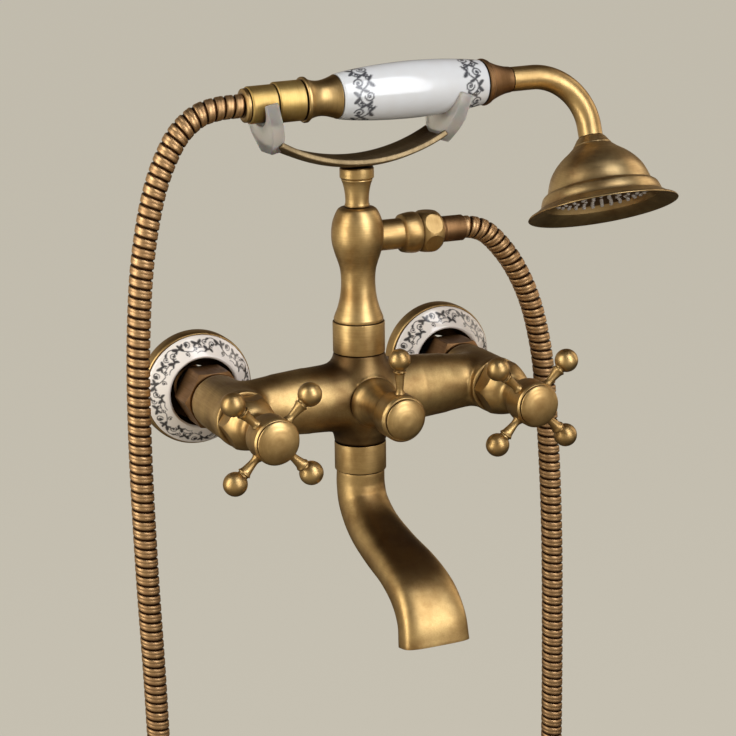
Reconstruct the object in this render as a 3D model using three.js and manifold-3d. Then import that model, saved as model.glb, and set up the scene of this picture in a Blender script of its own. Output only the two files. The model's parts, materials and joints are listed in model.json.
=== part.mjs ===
// Wall mounted bath and shower mixer in brushed antique brass, with a telephone handset in a cradle.
// Millimetres. +X runs to the right along the wall, +Y goes into the wall, +Z is up.
// The origin is on the wall face, half way between the two water inlets.
import * as THREE from "three";
import { mergeVertices } from "three/addons/utils/BufferGeometryUtils.js";
import Module from "manifold-3d";

const wasm = await Module();
wasm.setup();

// ---- Driving dimensions ----
const INLET_SPACING = 150; // centre distance of the two G1/2 inlets
const BODY_DEPTH = 59; // wall face to the upright axis of the body
const GAP = 0.3; // clearance between touching pieces
const SIDES = 16; // facets round a large turned piece
const WIDE_SIDES = 20; // facets round the widest ones
const SMALL_SIDES = 10; // facets round a small one

const WALL_THREAD_RADIUS = 10.3; // G1/2 tail in the wall
const WALL_TAIL_LENGTH = 14;
const UNION_THREAD_RADIUS = 13; // G3/4 end that the union nut screws on
const UNION_BORE = 6.5;
const UNION_END = 30; // depth of the union's front end
const CUP_RADIUS = 32;
const CUP_THICKNESS = 8;
const RING_RADIUS = 30.6; // porcelain ring, outer edge
const RING_HOLE = 19.2;
const NUT_BACK = 16; // union nut, back and front depths
const NUT_FRONT = 36;
const NUT_FLATS = 30;

const BARREL_RADIUS = 15; // valve barrel of the body
const BARREL_FRONT = 79;
const CARTRIDGE_RADIUS = 10.2;
const CARTRIDGE_BACK = 50;
const CARTRIDGE_FRONT = 80;
const SPINDLE_RADIUS = 3.5;
const ARM_RADIUS = 18.6; // the body's cross arm at the middle
const RING_RADIUS_UPRIGHT = 14.2; // coupling rings above and below the body
const BODY_TOP = 24;
const BODY_BOTTOM = -26;

const BONNET_FRONT = 104.5;
const BONNET_FLATS = 26.6;
const HUB_BACK = 108;
const HUB_FRONT = 124.5;
const HUB_RADIUS = 12.3;
const HUB_FLOOR = 120.3; // bottom of the recess under the cap
const CAP_RADIUS = 11.3;
const SPOKE_DEPTH = 117.4;
const SPOKE_COUNT = 4;
const SPOKE_BALL_CENTRE = 29.5; // from the handle's axis
const SPOKE_BALL_RADIUS = 6.35;

const DIVERTER_FACE = 77.5; // front of the boss that the diverter screws into
const DIVERTER_BACK = 100.5;
const DIVERTER_FRONT = 116;
const DIVERTER_RADIUS = 12.6;
const LEVER_DEPTH = 110;
const LEVER_BALL_CENTRE = 30.9;
const LEVER_BALL_RADIUS = 5.8;

const RISER_FOOT = 41.5;
const RISER_TOP = 103.5;
const OUTLET_HEIGHT = 86.8; // axis of the hose outlet
const OUTLET_NUT_START = 35.1;
const OUTLET_NUT_END = 47.5;
const FERRULE_END = 62.5;
const FERRULE_RADIUS = 7.1;
const CRADLE_FOOT = 125.2; // top of the finial, where the cradle rests
const CRADLE_RADIUS = 100; // curve of the cradle's underside
const CRADLE_HALF_SPAN = 49.5;
const CRADLE_WIDTH = 24;
const CRADLE_THICKNESS = 3.2;
const FORK_GAP = 28.6; // clear width between a fork's arms
const FORK_LEANS = { left: 13, right: 21 }; // degrees that each fork leans outwards

const SPOUT_TOP = -42.3;
const SPOUT_MOUTH = -112.5;
const SPOUT_REACH = 90; // body axis to the middle of the mouth
const SPOUT_WALL = 2;

const HANDSET_HEIGHT = 163.2; // handset axis over the body axis
const HANDSET_TILT = 1.64; // degrees that its right end is higher
const HEAD_LEAN = 22.9; // degrees that the head comes forward of the vertical
const NECK_BEND = 92.9; // degrees
const NECK_BEND_RADIUS = 29;
const NECK_START = 92.3;
const NECK_STRAIGHT = 13.5; // straight neck before its bend
const NECK_TAIL = 6.1; // straight neck after its bend
const NECK_RADIUS = 6.7;
const BELL_HEIGHT = 41.6;
const BELL_RADIUS = 41.6;
const HANDSET_TAIL = -64.3; // hose end of the handset, on its own axis

const HOSE_RADIUS = 6.2;

const rad = THREE.MathUtils.degToRad;

// ---- Finishes ----
function finish(color, roughness, metalness) {
  return () => new THREE.MeshStandardMaterial({ color, roughness, metalness });
}
const brass = finish("#a8833f", 0.34, 1);
const darkBrass = finish("#7d5c33", 0.38, 1);
const hoseMetal = finish("#8f6f48", 0.36, 1);
const steel = finish("#b9bcbe", 0.3, 1);
const porcelain = finish("#e9e3df", 0.12, 0);
const clearPlastic = finish("#e4e2dc", 0.3, 0);
const rubber = finish("#26241f", 0.8, 0);
const ceramic = finish("#d8d5cc", 0.25, 0);

// ---- Shape helpers ----
// A turned outline is a list of [radius, height]: up the outside, and down the bore if there is one.
function turned(outline, sides = SIDES) {
  const points = outline.map(([radius, height]) => new THREE.Vector2(radius, height));
  return new THREE.LatheGeometry(points, sides);
}

// The same for a piece with a bore: the outline is closed on its first point.
function turnedRing(outline, sides = SIDES) {
  return turned([...outline, outline[0]], sides);
}

function rod(radius, from, to, sides = SIDES) {
  return new THREE.CylinderGeometry(radius, radius, to - from, sides).translate(0, (from + to) / 2, 0);
}

function hexagon(flats, from, to) {
  const radius = flats / Math.sqrt(3);
  const prism = new THREE.CylinderGeometry(radius, radius, to - from, 6, 1, false, Math.PI / 2);
  return prism.translate(0, (from + to) / 2, 0);
}

// Points on a ball's outline, from its neck round to its pole.
function ballOutline(centre, radius, neckRadius, steps = 5) {
  const first = -Math.acos(neckRadius / radius);
  return Array.from({ length: steps + 1 }, (_, i) => {
    const angle = first + ((Math.PI / 2 - first) * i) / steps;
    return [i === steps ? 0 : radius * Math.cos(angle), centre + radius * Math.sin(angle)];
  });
}

// Stands a geometry made along +Y on another axis.
const outwards = (geometry) => geometry.rotateZ(Math.PI); // towards the room
const upwards = (geometry) => geometry.rotateX(Math.PI / 2);
const rightwards = (geometry) => geometry.rotateZ(-Math.PI / 2);

function solidOf(geometry) {
  const bare = geometry.clone();
  bare.deleteAttribute("normal");
  bare.deleteAttribute("uv");
  const merged = mergeVertices(bare, 1e-4);
  const vertProperties = merged.attributes.position.array;
  const triVerts = new Uint32Array(merged.index.array);
  return new wasm.Manifold(new wasm.Mesh({ numProp: 3, vertProperties, triVerts }));
}

function geometryOf(solid) {
  const { vertProperties, triVerts } = solid.getMesh();
  const geometry = new THREE.BufferGeometry();
  geometry.setAttribute("position", new THREE.BufferAttribute(vertProperties, 3));
  geometry.setIndex(new THREE.BufferAttribute(triVerts, 1));
  geometry.computeVertexNormals();
  return geometry;
}

const joined = (geometries) => geometries.map(solidOf).reduce((sum, part) => sum.add(part));

function cut(base, tools) {
  const solid = base instanceof THREE.BufferGeometry ? solidOf(base) : base;
  return geometryOf(tools.map(solidOf).reduce((left, tool) => left.subtract(tool), solid));
}

function piece(name, geometry, material) {
  const mesh = new THREE.Mesh(geometry, material());
  mesh.name = name;
  return mesh;
}

function groupAt(x, y, z, ...children) {
  const group = new THREE.Group();
  group.position.set(x, y, z);
  group.add(...children);
  return group;
}

// ---- Wall connection: union, cup, porcelain ring, nut and washer ----
function wallSet(side) {
  const union = turnedRing([
    [UNION_BORE, -WALL_TAIL_LENGTH],
    [WALL_THREAD_RADIUS - 1, -WALL_TAIL_LENGTH],
    [WALL_THREAD_RADIUS, -WALL_TAIL_LENGTH + 1],
    [WALL_THREAD_RADIUS, 5],
    [11.4, 6],
    [11.4, 13],
    [UNION_THREAD_RADIUS, 14],
    [UNION_THREAD_RADIUS, UNION_END],
    [UNION_BORE, UNION_END],
  ], SMALL_SIDES);
  const cup = turnedRing([
    [11.9, 0],
    [CUP_RADIUS, 0],
    [CUP_RADIUS, CUP_THICKNESS - 1.6],
    [CUP_RADIUS - 0.9, CUP_THICKNESS],
    [RING_RADIUS - 0.8, CUP_THICKNESS],
    [RING_HOLE + 0.2, 15.4],
    [RING_HOLE - 0.9, 14.6],
    [RING_HOLE - 0.9, 1.8],
    [11.9, 1.8],
  ], WIDE_SIDES);
  const ring = turnedRing([
    [RING_RADIUS - 0.6, CUP_THICKNESS + GAP],
    [RING_RADIUS, CUP_THICKNESS + 0.9],
    [RING_RADIUS - 0.7, CUP_THICKNESS + 1.9],
    [25.5, 14],
    [22.2, 16.6],
    [20.6, 17.6],
    [RING_HOLE + 0.3, 17.6],
    [RING_HOLE, 16.9],
    [RING_HOLE, 15.9],
  ], WIDE_SIDES);
  const nutBlank = turned([
    [0, NUT_BACK],
    [15.2, NUT_BACK],
    [17.4, NUT_BACK + 1.6],
    [17.4, NUT_FRONT - 1.8],
    [15, NUT_FRONT],
    [0, NUT_FRONT],
  ]);
  const nutSolid = solidOf(nutBlank).intersect(solidOf(hexagon(NUT_FLATS, NUT_BACK - 1, NUT_FRONT + 1)));
  const nut = cut(nutSolid, [
    rod(UNION_THREAD_RADIUS + GAP, NUT_BACK - 1, 34),
    rod(10.9, 30, NUT_FRONT + 1),
  ]);
  const washer = turnedRing([
    [7.2, UNION_END + GAP],
    [12.4, UNION_END + GAP],
    [12.4, UNION_END + 1.2],
    [7.2, UNION_END + 1.2],
  ], SMALL_SIDES);
  return [
    piece(`wall_union_${side}`, outwards(union), darkBrass),
    piece(`escutcheon_cup_${side}`, outwards(cup), brass),
    piece(`porcelain_ring_${side}`, outwards(ring), porcelain),
    piece(`union_nut_${side}`, outwards(nut), darkBrass),
    piece(`union_washer_${side}`, outwards(washer), rubber),
  ];
}

// ---- Cast mixer body ----
// The outlines are in their own axes' frames: the cross arm along X, the upright along Z, barrels along Y.
function mixerBody() {
  const half = INLET_SPACING / 2;
  const rightArm = [
    [ARM_RADIUS, 12],
    [ARM_RADIUS - 0.2, 25],
    [17.2, 42],
    [16, 57],
    [14.8, 67],
    [13.6, half],
  ];
  const leftArm = rightArm.map(([radius, x]) => [radius, -x]).reverse();
  const crossArm = turned([[0, -half], ...leftArm, ...rightArm, [0, half]]);
  const upright = turned([
    [0, BODY_BOTTOM],
    [RING_RADIUS_UPRIGHT, BODY_BOTTOM],
    [14.5, BODY_BOTTOM + 3],
    [16, -18.5],
    [18, -12],
    [ARM_RADIUS, 0],
    [18, 12],
    [16, 17.5],
    [14.5, BODY_TOP - 2.5],
    [RING_RADIUS_UPRIGHT, BODY_TOP],
    [0, BODY_TOP],
  ]);
  const boss = turned([
    [0, 0],
    [15.5, 0],
    [15.5, 14],
    [14, 17],
    [13.8, DIVERTER_FACE - BODY_DEPTH],
    [0, DIVERTER_FACE - BODY_DEPTH],
  ]);
  const barrel = () => turned([
    [0, 31.8],
    [12.6, 31.8],
    [12.6, 33.4],
    [10.5, 33.4],
    [10.5, NUT_FRONT + GAP],
    [BARREL_RADIUS - 1.6, NUT_FRONT + GAP],
    [BARREL_RADIUS, NUT_FRONT + 2.5],
    [BARREL_RADIUS + 0.5, 56],
    [BARREL_RADIUS + 0.5, BARREL_FRONT],
    [0, BARREL_FRONT],
  ]);
  const barrelBores = () => [
    rod(8, 30, BARREL_FRONT - 20, SMALL_SIDES),
    rod(CARTRIDGE_RADIUS + GAP, CARTRIDGE_BACK, BARREL_FRONT + 1),
  ];
  const atSide = (geometry, sign) => outwards(geometry).translate(sign * half, 0, 0);
  const onAxis = (geometry) => geometry.translate(0, -BODY_DEPTH, 0);
  const casting = joined([
    onAxis(rightwards(crossArm)),
    onAxis(upwards(upright)),
    onAxis(outwards(boss)),
    atSide(barrel(), -1),
    atSide(barrel(), 1),
  ]);
  return cut(casting, [
    ...barrelBores().map((bore) => atSide(bore, -1)),
    ...barrelBores().map((bore) => atSide(bore, 1)),
    onAxis(rightwards(rod(7, -half, half, SMALL_SIDES))),
    onAxis(upwards(rod(8.5, BODY_BOTTOM - 1, BODY_TOP + 1, SMALL_SIDES))),
    outwards(rod(9.5, CARTRIDGE_BACK, DIVERTER_FACE + 1)),
  ]);
}

// ---- Valves and cross handles ----
function cartridge(radius, back, front) {
  const socket = SPINDLE_RADIUS + GAP;
  return turned([
    [0, back + GAP],
    [radius, back + GAP],
    [radius, front],
    [socket, front],
    [socket, front - 7],
    [0, front - 7],
  ], SMALL_SIDES);
}

function spindle(back, front) {
  const tapped = 1.9;
  return turned([
    [0, back + GAP],
    [SPINDLE_RADIUS, back + GAP],
    [SPINDLE_RADIUS, front],
    [tapped, front],
    [tapped, front - 8],
    [0, front - 8],
  ], 12);
}

function valveBonnet() {
  const dome = turned([
    [0, BARREL_FRONT + GAP],
    [BARREL_RADIUS + 0.3, BARREL_FRONT + GAP],
    [BARREL_RADIUS + 0.5, 82],
    [15, 86],
    [13.4, 90],
    [10.6, 94],
    [8.2, 96],
    [7.4, 97.5],
    [7.4, BONNET_FRONT],
    [0, BONNET_FRONT],
  ]);
  const cutAcross = solidOf(dome).intersect(solidOf(hexagon(BONNET_FLATS, 70, 110)));
  return cut(cutAcross, [
    rod(CARTRIDGE_RADIUS + GAP, 70, CARTRIDGE_FRONT + GAP),
    rod(SPINDLE_RADIUS + 1.2, 70, 110, SMALL_SIDES),
  ]);
}

function handleHub() {
  const drum = turnedRing([
    [SPINDLE_RADIUS + GAP, HUB_BACK],
    [9.4, HUB_BACK],
    [11.5, HUB_BACK + 1.2],
    [HUB_RADIUS, HUB_BACK + 3.5],
    [HUB_RADIUS, HUB_FRONT - 1],
    [HUB_RADIUS - 0.7, HUB_FRONT],
    [9.7, HUB_FRONT],
    [9.7, HUB_FLOOR],
    [SPINDLE_RADIUS + GAP, HUB_FLOOR],
  ]);
  const holes = Array.from({ length: SPOKE_COUNT }, (_, i) => {
    const angle = rad(45 + (360 / SPOKE_COUNT) * i);
    return rod(2.1, 8.2, 16, 8).rotateZ(-Math.PI / 2).rotateY(angle).translate(0, SPOKE_DEPTH, 0);
  });
  return cut(drum, holes);
}

// One turned spoke with its ball, along its own axis from the handle's axis outwards.
function ballSpoke(rootRadius, ballCentre, ballRadius) {
  const bead = ballCentre - ballRadius - 0.4;
  return turned([
    [0, rootRadius - 3.6],
    [1.8, rootRadius - 3.6],
    [1.8, rootRadius + GAP],
    [2.2, rootRadius + GAP],
    [2.2, rootRadius + 4],
    [2.8, bead - 1.6],
    [3.4, bead - 0.7],
    [3.4, bead + 0.1],
    ...ballOutline(ballCentre, ballRadius, 2.7),
  ], 8);
}

// A domed cap with a plug that presses into the hub's recess.
function domedCap(radius, plugRadius, plugBack, seat) {
  return turned([
    [0, plugBack],
    [plugRadius, plugBack],
    [plugRadius, seat],
    [radius, seat],
    [radius + 0.1, seat + 0.9],
    [radius * 0.85, seat + 1.9],
    [radius * 0.5, seat + 2.8],
    [0, seat + 3.2],
  ]);
}

function handleScrew(floor) {
  return turned([
    [0, floor - 7],
    [1.6, floor - 7],
    [1.6, floor + GAP],
    [5, floor + GAP],
    [4.6, floor + 1.1],
    [0, floor + 1.3],
  ], 12);
}

function valveAndHandle(side) {
  const spindleFront = HUB_FLOOR - 0.2;
  const hubParts = Array.from({ length: SPOKE_COUNT }, (_, i) => {
    const spoke = piece(`handle_spoke_${side}_${i + 1}`,
      ballSpoke(HUB_RADIUS, SPOKE_BALL_CENTRE, SPOKE_BALL_RADIUS), brass);
    spoke.position.set(0, -SPOKE_DEPTH, 0);
    const angle = rad(45 + (360 / SPOKE_COUNT) * i);
    spoke.quaternion.setFromUnitVectors(new THREE.Vector3(0, 1, 0),
      new THREE.Vector3(Math.cos(angle), 0, Math.sin(angle)));
    return spoke;
  });
  return [
    piece(`valve_cartridge_${side}`,
      outwards(cartridge(CARTRIDGE_RADIUS, CARTRIDGE_BACK, CARTRIDGE_FRONT)), ceramic),
    piece(`valve_bonnet_${side}`, outwards(valveBonnet()), brass),
    piece(`valve_spindle_${side}`, outwards(spindle(CARTRIDGE_FRONT - 7, spindleFront)), steel),
    piece(`handle_hub_${side}`, outwards(handleHub()), brass),
    piece(`handle_screw_${side}`, outwards(handleScrew(HUB_FLOOR)), steel),
    piece(`handle_cap_${side}`,
      outwards(domedCap(CAP_RADIUS, 9.4, HUB_FLOOR + 1.8, HUB_FRONT + GAP)), brass),
    ...hubParts,
  ];
}

// ---- Diverter with its lever ----
function diverter() {
  const bonnet = turnedRing([
    [SPINDLE_RADIUS + 1.2, DIVERTER_FACE + 3],
    [9.6, DIVERTER_FACE + 3],
    [9.6, DIVERTER_FACE + GAP],
    [13.5, DIVERTER_FACE + GAP],
    [13.8, DIVERTER_FACE + 1.6],
    [13, DIVERTER_FACE + 4],
    [11.2, DIVERTER_FACE + 7.5],
    [9.8, DIVERTER_FACE + 12],
    [9.2, DIVERTER_FACE + 17],
    [9.2, DIVERTER_FACE + 20],
    [SPINDLE_RADIUS + 1.2, DIVERTER_FACE + 20],
  ]);
  const hub = turnedRing([
    [SPINDLE_RADIUS + GAP, DIVERTER_BACK],
    [10.4, DIVERTER_BACK],
    [12, DIVERTER_BACK + 1.4],
    [DIVERTER_RADIUS, DIVERTER_BACK + 4],
    [DIVERTER_RADIUS, DIVERTER_FRONT - 1.4],
    [DIVERTER_RADIUS - 1, DIVERTER_FRONT],
    [8.8, DIVERTER_FRONT],
    [8.8, DIVERTER_FRONT - 3],
    [SPINDLE_RADIUS + GAP, DIVERTER_FRONT - 3],
  ]);
  const leverHole = upwards(rod(2.1, 8.4, 16, 8)).translate(0, LEVER_DEPTH, 0);
  const lever = upwards(ballSpoke(DIVERTER_RADIUS, LEVER_BALL_CENTRE, LEVER_BALL_RADIUS));
  return [
    piece("diverter_cartridge",
      outwards(cartridge(9.2, CARTRIDGE_BACK, DIVERTER_FACE + 2.4)), ceramic),
    piece("diverter_bonnet", outwards(bonnet), brass),
    piece("diverter_spindle",
      outwards(spindle(DIVERTER_FACE + 2.4 - 7, DIVERTER_FRONT - 3.2)), steel),
    piece("diverter_hub", outwards(cut(hub, [leverHole])), brass),
    piece("diverter_lever", lever.translate(0, -LEVER_DEPTH, 0), brass),
    piece("diverter_cap",
      outwards(domedCap(10.7, 8.5, DIVERTER_FRONT - 2.4, DIVERTER_FRONT + GAP)), brass),
  ];
}

// ---- Riser with the hose outlet ----
function coupling(bottom, top) {
  return turnedRing([
    [10.4, bottom],
    [RING_RADIUS_UPRIGHT - 0.3, bottom],
    [RING_RADIUS_UPRIGHT, bottom + 0.5],
    [RING_RADIUS_UPRIGHT, top - 0.5],
    [RING_RADIUS_UPRIGHT - 0.3, top],
    [10.4, top],
  ]);
}

function riserVase() {
  const vase = turned([
    [0, RISER_FOOT],
    [13.2, RISER_FOOT],
    [11.6, 48.5],
    [9.7, 56],
    [9.3, 65],
    [10.6, 73.5],
    [13.2, 81.5],
    [14.2, 88.5],
    [13.4, 95.5],
    [11.2, 101.3],
    [9, RISER_TOP],
    [0, RISER_TOP],
  ]);
  const outlet = turned([
    [0, 0],
    [8.3, 0],
    [8.3, 25.3],
    [10.2, 25.8],
    [11.2, 34],
    [11, OUTLET_NUT_START - GAP],
    [8, OUTLET_NUT_START - GAP],
    [8, 43],
    [0, 43],
  ]);
  const outletAt = (geometry) => rightwards(geometry).translate(0, 0, OUTLET_HEIGHT);
  return cut(joined([upwards(vase), outletAt(outlet)]), [
    upwards(rod(5.6, RISER_FOOT - 1, OUTLET_HEIGHT + 5, 12)),
    outletAt(rod(5, 0, 44, 12)),
    upwards(rod(3.3, RISER_TOP - 6, RISER_TOP + 1, 8)),
  ]);
}

function outletNut() {
  const middle = (OUTLET_NUT_START + OUTLET_NUT_END) / 2;
  const drum = turned([
    [0, OUTLET_NUT_START],
    [10.4, OUTLET_NUT_START],
    [11.6, OUTLET_NUT_START + 1.8],
    [12.1, middle],
    [11.5, OUTLET_NUT_END - 2.2],
    [9.2, OUTLET_NUT_END],
    [0, OUTLET_NUT_END],
  ]);
  const hex = solidOf(drum).intersect(solidOf(hexagon(21.6, 30, 50)));
  return cut(hex, [
    rod(8 + GAP, 30, 45.8),
    rod(FERRULE_RADIUS + GAP, 40, 50),
  ]);
}

function hoseFerrule(start, end) {
  return turnedRing([
    [4.6, start],
    [7.9, start],
    [7.9, start + 1.8],
    [FERRULE_RADIUS, start + 1.8],
    [FERRULE_RADIUS, end],
    [4.6, end],
  ], SMALL_SIDES);
}

function riser() {
  const outletAt = (geometry) => rightwards(geometry).translate(0, 0, OUTLET_HEIGHT);
  const finial = turned([
    [0, RISER_TOP - 5],
    [3, RISER_TOP - 5],
    [3, RISER_TOP + GAP],
    [6.6, RISER_TOP + GAP],
    [6.6, 108],
    [7.3, 113.5],
    [8.8, 118],
    [9.2, 119],
    [9.2, CRADLE_FOOT - 0.8],
    [8.8, CRADLE_FOOT],
    [0, CRADLE_FOOT],
  ]);
  return [
    piece("riser_coupling", upwards(coupling(BODY_TOP + GAP, RISER_FOOT - GAP)), brass),
    piece("riser_vase", riserVase(), brass),
    piece("hose_nut_outlet", outletAt(outletNut()), brass),
    piece("hose_ferrule_outlet", outletAt(hoseFerrule(43.5, FERRULE_END)), darkBrass),
    piece("finial_neck", upwards(finial), brass),
  ];
}

// ---- Handset cradle: a curved strip with a fork at each end ----
// The strip's section is a shallow trough. offset grows it all round, to cut clearance for its neighbours.
function cradleStrip(offset = 0, halfSpan = CRADLE_HALF_SPAN) {
  const half = CRADLE_WIDTH / 2 + offset;
  const low = -offset;
  const high = CRADLE_THICKNESS + offset;
  const section = new THREE.Shape();
  section.moveTo(-half * 0.5, low);
  section.lineTo(half * 0.5, low);
  section.lineTo(half, low + 1.4);
  section.lineTo(half, high + 1);
  section.lineTo(half * 0.5, high);
  section.lineTo(-half * 0.5, high);
  section.lineTo(-half, high + 1);
  section.lineTo(-half, low + 1.4);
  section.closePath();
  const reach = Math.asin(halfSpan / CRADLE_RADIUS);
  const steps = 16;
  const flat = new THREE.ExtrudeGeometry(section, { depth: 1, steps, bevelEnabled: false });
  // The extrusion's length turns into the angle along the strip.
  const position = flat.attributes.position;
  const base = CRADLE_FOOT + GAP;
  for (let i = 0; i < position.count; i += 1) {
    const angle = (position.getZ(i) * 2 - 1) * reach;
    const radius = CRADLE_RADIUS - position.getY(i);
    const across = position.getX(i);
    position.setXYZ(i, radius * Math.sin(angle), across, base + CRADLE_RADIUS - radius * Math.cos(angle));
  }
  return flat;
}

// floor is the height of the saddle above the fork's foot, along the fork's own leaning axis.
function cradleFork(sign, floor, lean) {
  const arm = FORK_GAP / 2;
  const outer = arm + 2.8;
  const top = 27.5;
  const centre = floor + arm;
  const first = Math.asin((top - 0.6 - centre) / arm);
  const outline = new THREE.Shape();
  outline.moveTo(-7, 0);
  outline.lineTo(7, 0);
  outline.lineTo(outer - 3, 8);
  outline.lineTo(outer, 14);
  outline.lineTo(outer, top - 1);
  outline.lineTo(outer - 1, top);
  outline.absarc(0, centre, arm, first, Math.PI - first, true);
  outline.lineTo(1 - outer, top);
  outline.lineTo(-outer, top - 1);
  outline.lineTo(-outer, 14);
  outline.lineTo(3 - outer, 8);
  outline.closePath();
  const blank = new THREE.ExtrudeGeometry(outline, { depth: 7, bevelEnabled: false, curveSegments: 10 })
    .translate(0, 0, -3.5)
    .rotateX(Math.PI / 2)
    .rotateZ(Math.PI / 2)
    .rotateY(sign * rad(lean))
    .translate(sign * 48, 0, 136);
  return cut(blank, [cradleStrip(GAP, CRADLE_HALF_SPAN + 0.4)]);
}

function cradle() {
  return [
    piece("handset_cradle", cradleStrip(), brass),
    piece("cradle_fork_left", cradleFork(-1, 14.6, FORK_LEANS.left), clearPlastic),
    piece("cradle_fork_right", cradleFork(1, 13.3, FORK_LEANS.right), clearPlastic),
  ];
}

// ---- Spout ----
// The spout's middle line, from the body axis forwards and down, with its half width and half thickness.
const SPOUT_LINE = [
  [0, SPOUT_TOP],
  [0, -52],
  [4, -62],
  [17, -71.5],
  [38, -78],
  [60, -82.5],
  [77, -89.5],
  [87, -100],
  [SPOUT_REACH, SPOUT_MOUTH],
];
const SPOUT_WIDTHS = [13.2, 13.2, 13.4, 14.2, 15.4, 16.6, 17.6, 18.2, 18.8];
const SPOUT_DEPTHS = [13.2, 13.1, 12.8, 12, 11, 10.2, 9.8, 9.4, 9.2];

// A cylinder whose rings are laid along the middle line; inset shrinks it and runs it past both ends.
function spoutShape(inset) {
  const rings = 11;
  const line = new THREE.CatmullRomCurve3(SPOUT_LINE.map(([forward, z]) => new THREE.Vector3(0, -forward, z)));
  const blank = new THREE.CylinderGeometry(1, 1, 1, SIDES, rings);
  const position = blank.attributes.position;
  const last = SPOUT_WIDTHS.length - 1;
  const side = new THREE.Vector3(1, 0, 0);
  const between = (values, t) => {
    const at = Math.min(Math.floor(t * last), last - 1);
    return THREE.MathUtils.lerp(values[at], values[at + 1], t * last - at);
  };
  for (let i = 0; i < position.count; i += 1) {
    const t = 0.5 - position.getY(i);
    const centre = line.getPoint(t);
    const tangent = line.getTangent(t);
    if (t > 0.98) tangent.set(0, -0.05, -1).normalize();
    if (t < 0.02) tangent.set(0, 0, -1);
    const normal = new THREE.Vector3().crossVectors(side, tangent);
    const overrun = inset && (t < 0.001 || t > 0.999) ? Math.sign(t - 0.5) * 2 : 0;
    const round = Math.hypot(position.getX(i), position.getZ(i)) || 1;
    const square = THREE.MathUtils.lerp(1, 0.55, t); // exponent that squares the section off
    const bulge = (value) => Math.sign(value) * Math.abs(value / round) ** square * Math.min(round, 1);
    const across = bulge(position.getX(i)) * (between(SPOUT_WIDTHS, t) - inset);
    const deep = bulge(position.getZ(i)) * (between(SPOUT_DEPTHS, t) - inset);
    const point = centre.addScaledVector(side, across).addScaledVector(normal, -deep);
    point.addScaledVector(tangent, overrun);
    position.setXYZ(i, point.x, point.y, point.z);
  }
  return blank;
}

function spoutSet() {
  const spigotTop = BODY_BOTTOM - 5;
  const spigot = turned([
    [0, SPOUT_TOP - 3],
    [12, SPOUT_TOP - 3],
    [12, SPOUT_TOP - 0.4],
    [8.2, SPOUT_TOP - 0.4],
    [8.2, spigotTop],
    [0, spigotTop],
  ]);
  const spigotBore = upwards(rod(6.4, SPOUT_TOP - 6, spigotTop + 1, 12));
  const shell = solidOf(spoutShape(0)).subtract(solidOf(spoutShape(SPOUT_WALL)));
  const spout = cut(shell.add(solidOf(upwards(spigot))), [spigotBore]);
  const ring = new THREE.TorusGeometry(9.3, 0.8, 8, SIDES).translate(0, 0, SPOUT_TOP + 6);
  const straightener = new THREE.CylinderGeometry(1, 1, 3, SIDES)
    .scale(11.5, 1, 4.2)
    .rotateX(Math.PI / 2)
    .translate(0, -SPOUT_REACH + 0.4, SPOUT_MOUTH + 6);
  return [
    piece("spout_coupling", upwards(coupling(SPOUT_TOP + GAP, BODY_BOTTOM - GAP)), brass),
    piece("spout", spout, brass),
    piece("spout_o_ring", ring, rubber),
    piece("flow_straightener", straightener, darkBrass),
  ];
}

// ---- Handset ----
// Heights of these turned pieces run along the handset's own axis, to the right.
function handsetBar() {
  const hoseNut = turnedRing([
    [7.5, -61.4],
    [9.3, -61.4],
    [9.7, -60.8],
    [9.7, -47.2],
    [9.4, -46.8],
    [6.6, -46.8],
    [6.6, -59],
    [7.5, -59],
  ]);
  const tail = turnedRing([
    [4.6, HANDSET_TAIL],
    [7.6, HANDSET_TAIL],
    [8.9, HANDSET_TAIL + 0.6],
    [8.9, -61.8],
    [7.1, -61.7],
    [7.1, -59.4],
    [4.6, -59.4],
  ], SMALL_SIDES);
  const sleeve = turnedRing([
    [6.2, -58.6],
    [6.2, -46.5],
    [10.3, -46.5],
    [10.7, -46],
    [10.7, -31.8],
    [10.4, -31.4],
    [4.8, -31.4],
    [4.8, -58.6],
  ]);
  const rearFerrule = turnedRing([
    [6, -31.1],
    [11.4, -31.1],
    [12, -30.4],
    [12, -29.2],
    [11.3, -28.6],
    [10, -26.4],
    [9.3, -22.5],
    [9.6, -18.4],
    [10.7, -14.4],
    [11.7, -11.6],
    [6, -11.6],
  ]);
  const grip = turnedRing([
    [6, -11.2],
    [11.6, -11.2],
    [12.1, -10.4],
    [13.3, -2],
    [14.5, 11],
    [15.15, 26],
    [15.15, 37],
    [14.5, 52],
    [13.3, 65],
    [12.2, 73.2],
    [11.7, 74],
    [6, 74],
  ]);
  const innerTube = turnedRing([
    [4.4, -30.6],
    [5.6, -30.6],
    [5.6, 90],
    [4.4, 90],
  ], SMALL_SIDES);
  const cone = turnedRing([
    [6, 74.4],
    [12.3, 74.4],
    [12.6, 75],
    [12.6, 75.9],
    [12, 76.4],
    [12, 77.2],
    [11, 78],
    [9, 83],
    [7.4, 88],
    [7, 92],
    [5.9, 92],
  ]);
  return [
    piece("hose_ferrule_handset", rightwards(tail), brass),
    piece("handset_hose_nut", rightwards(hoseNut), brass),
    piece("handset_sleeve", rightwards(sleeve), brass),
    piece("handset_rear_ferrule", rightwards(rearFerrule), brass),
    piece("porcelain_handle", rightwards(grip), porcelain),
    piece("handset_inner_tube", rightwards(innerTube), steel),
    piece("handset_front_cone", rightwards(cone), darkBrass),
  ];
}

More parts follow.
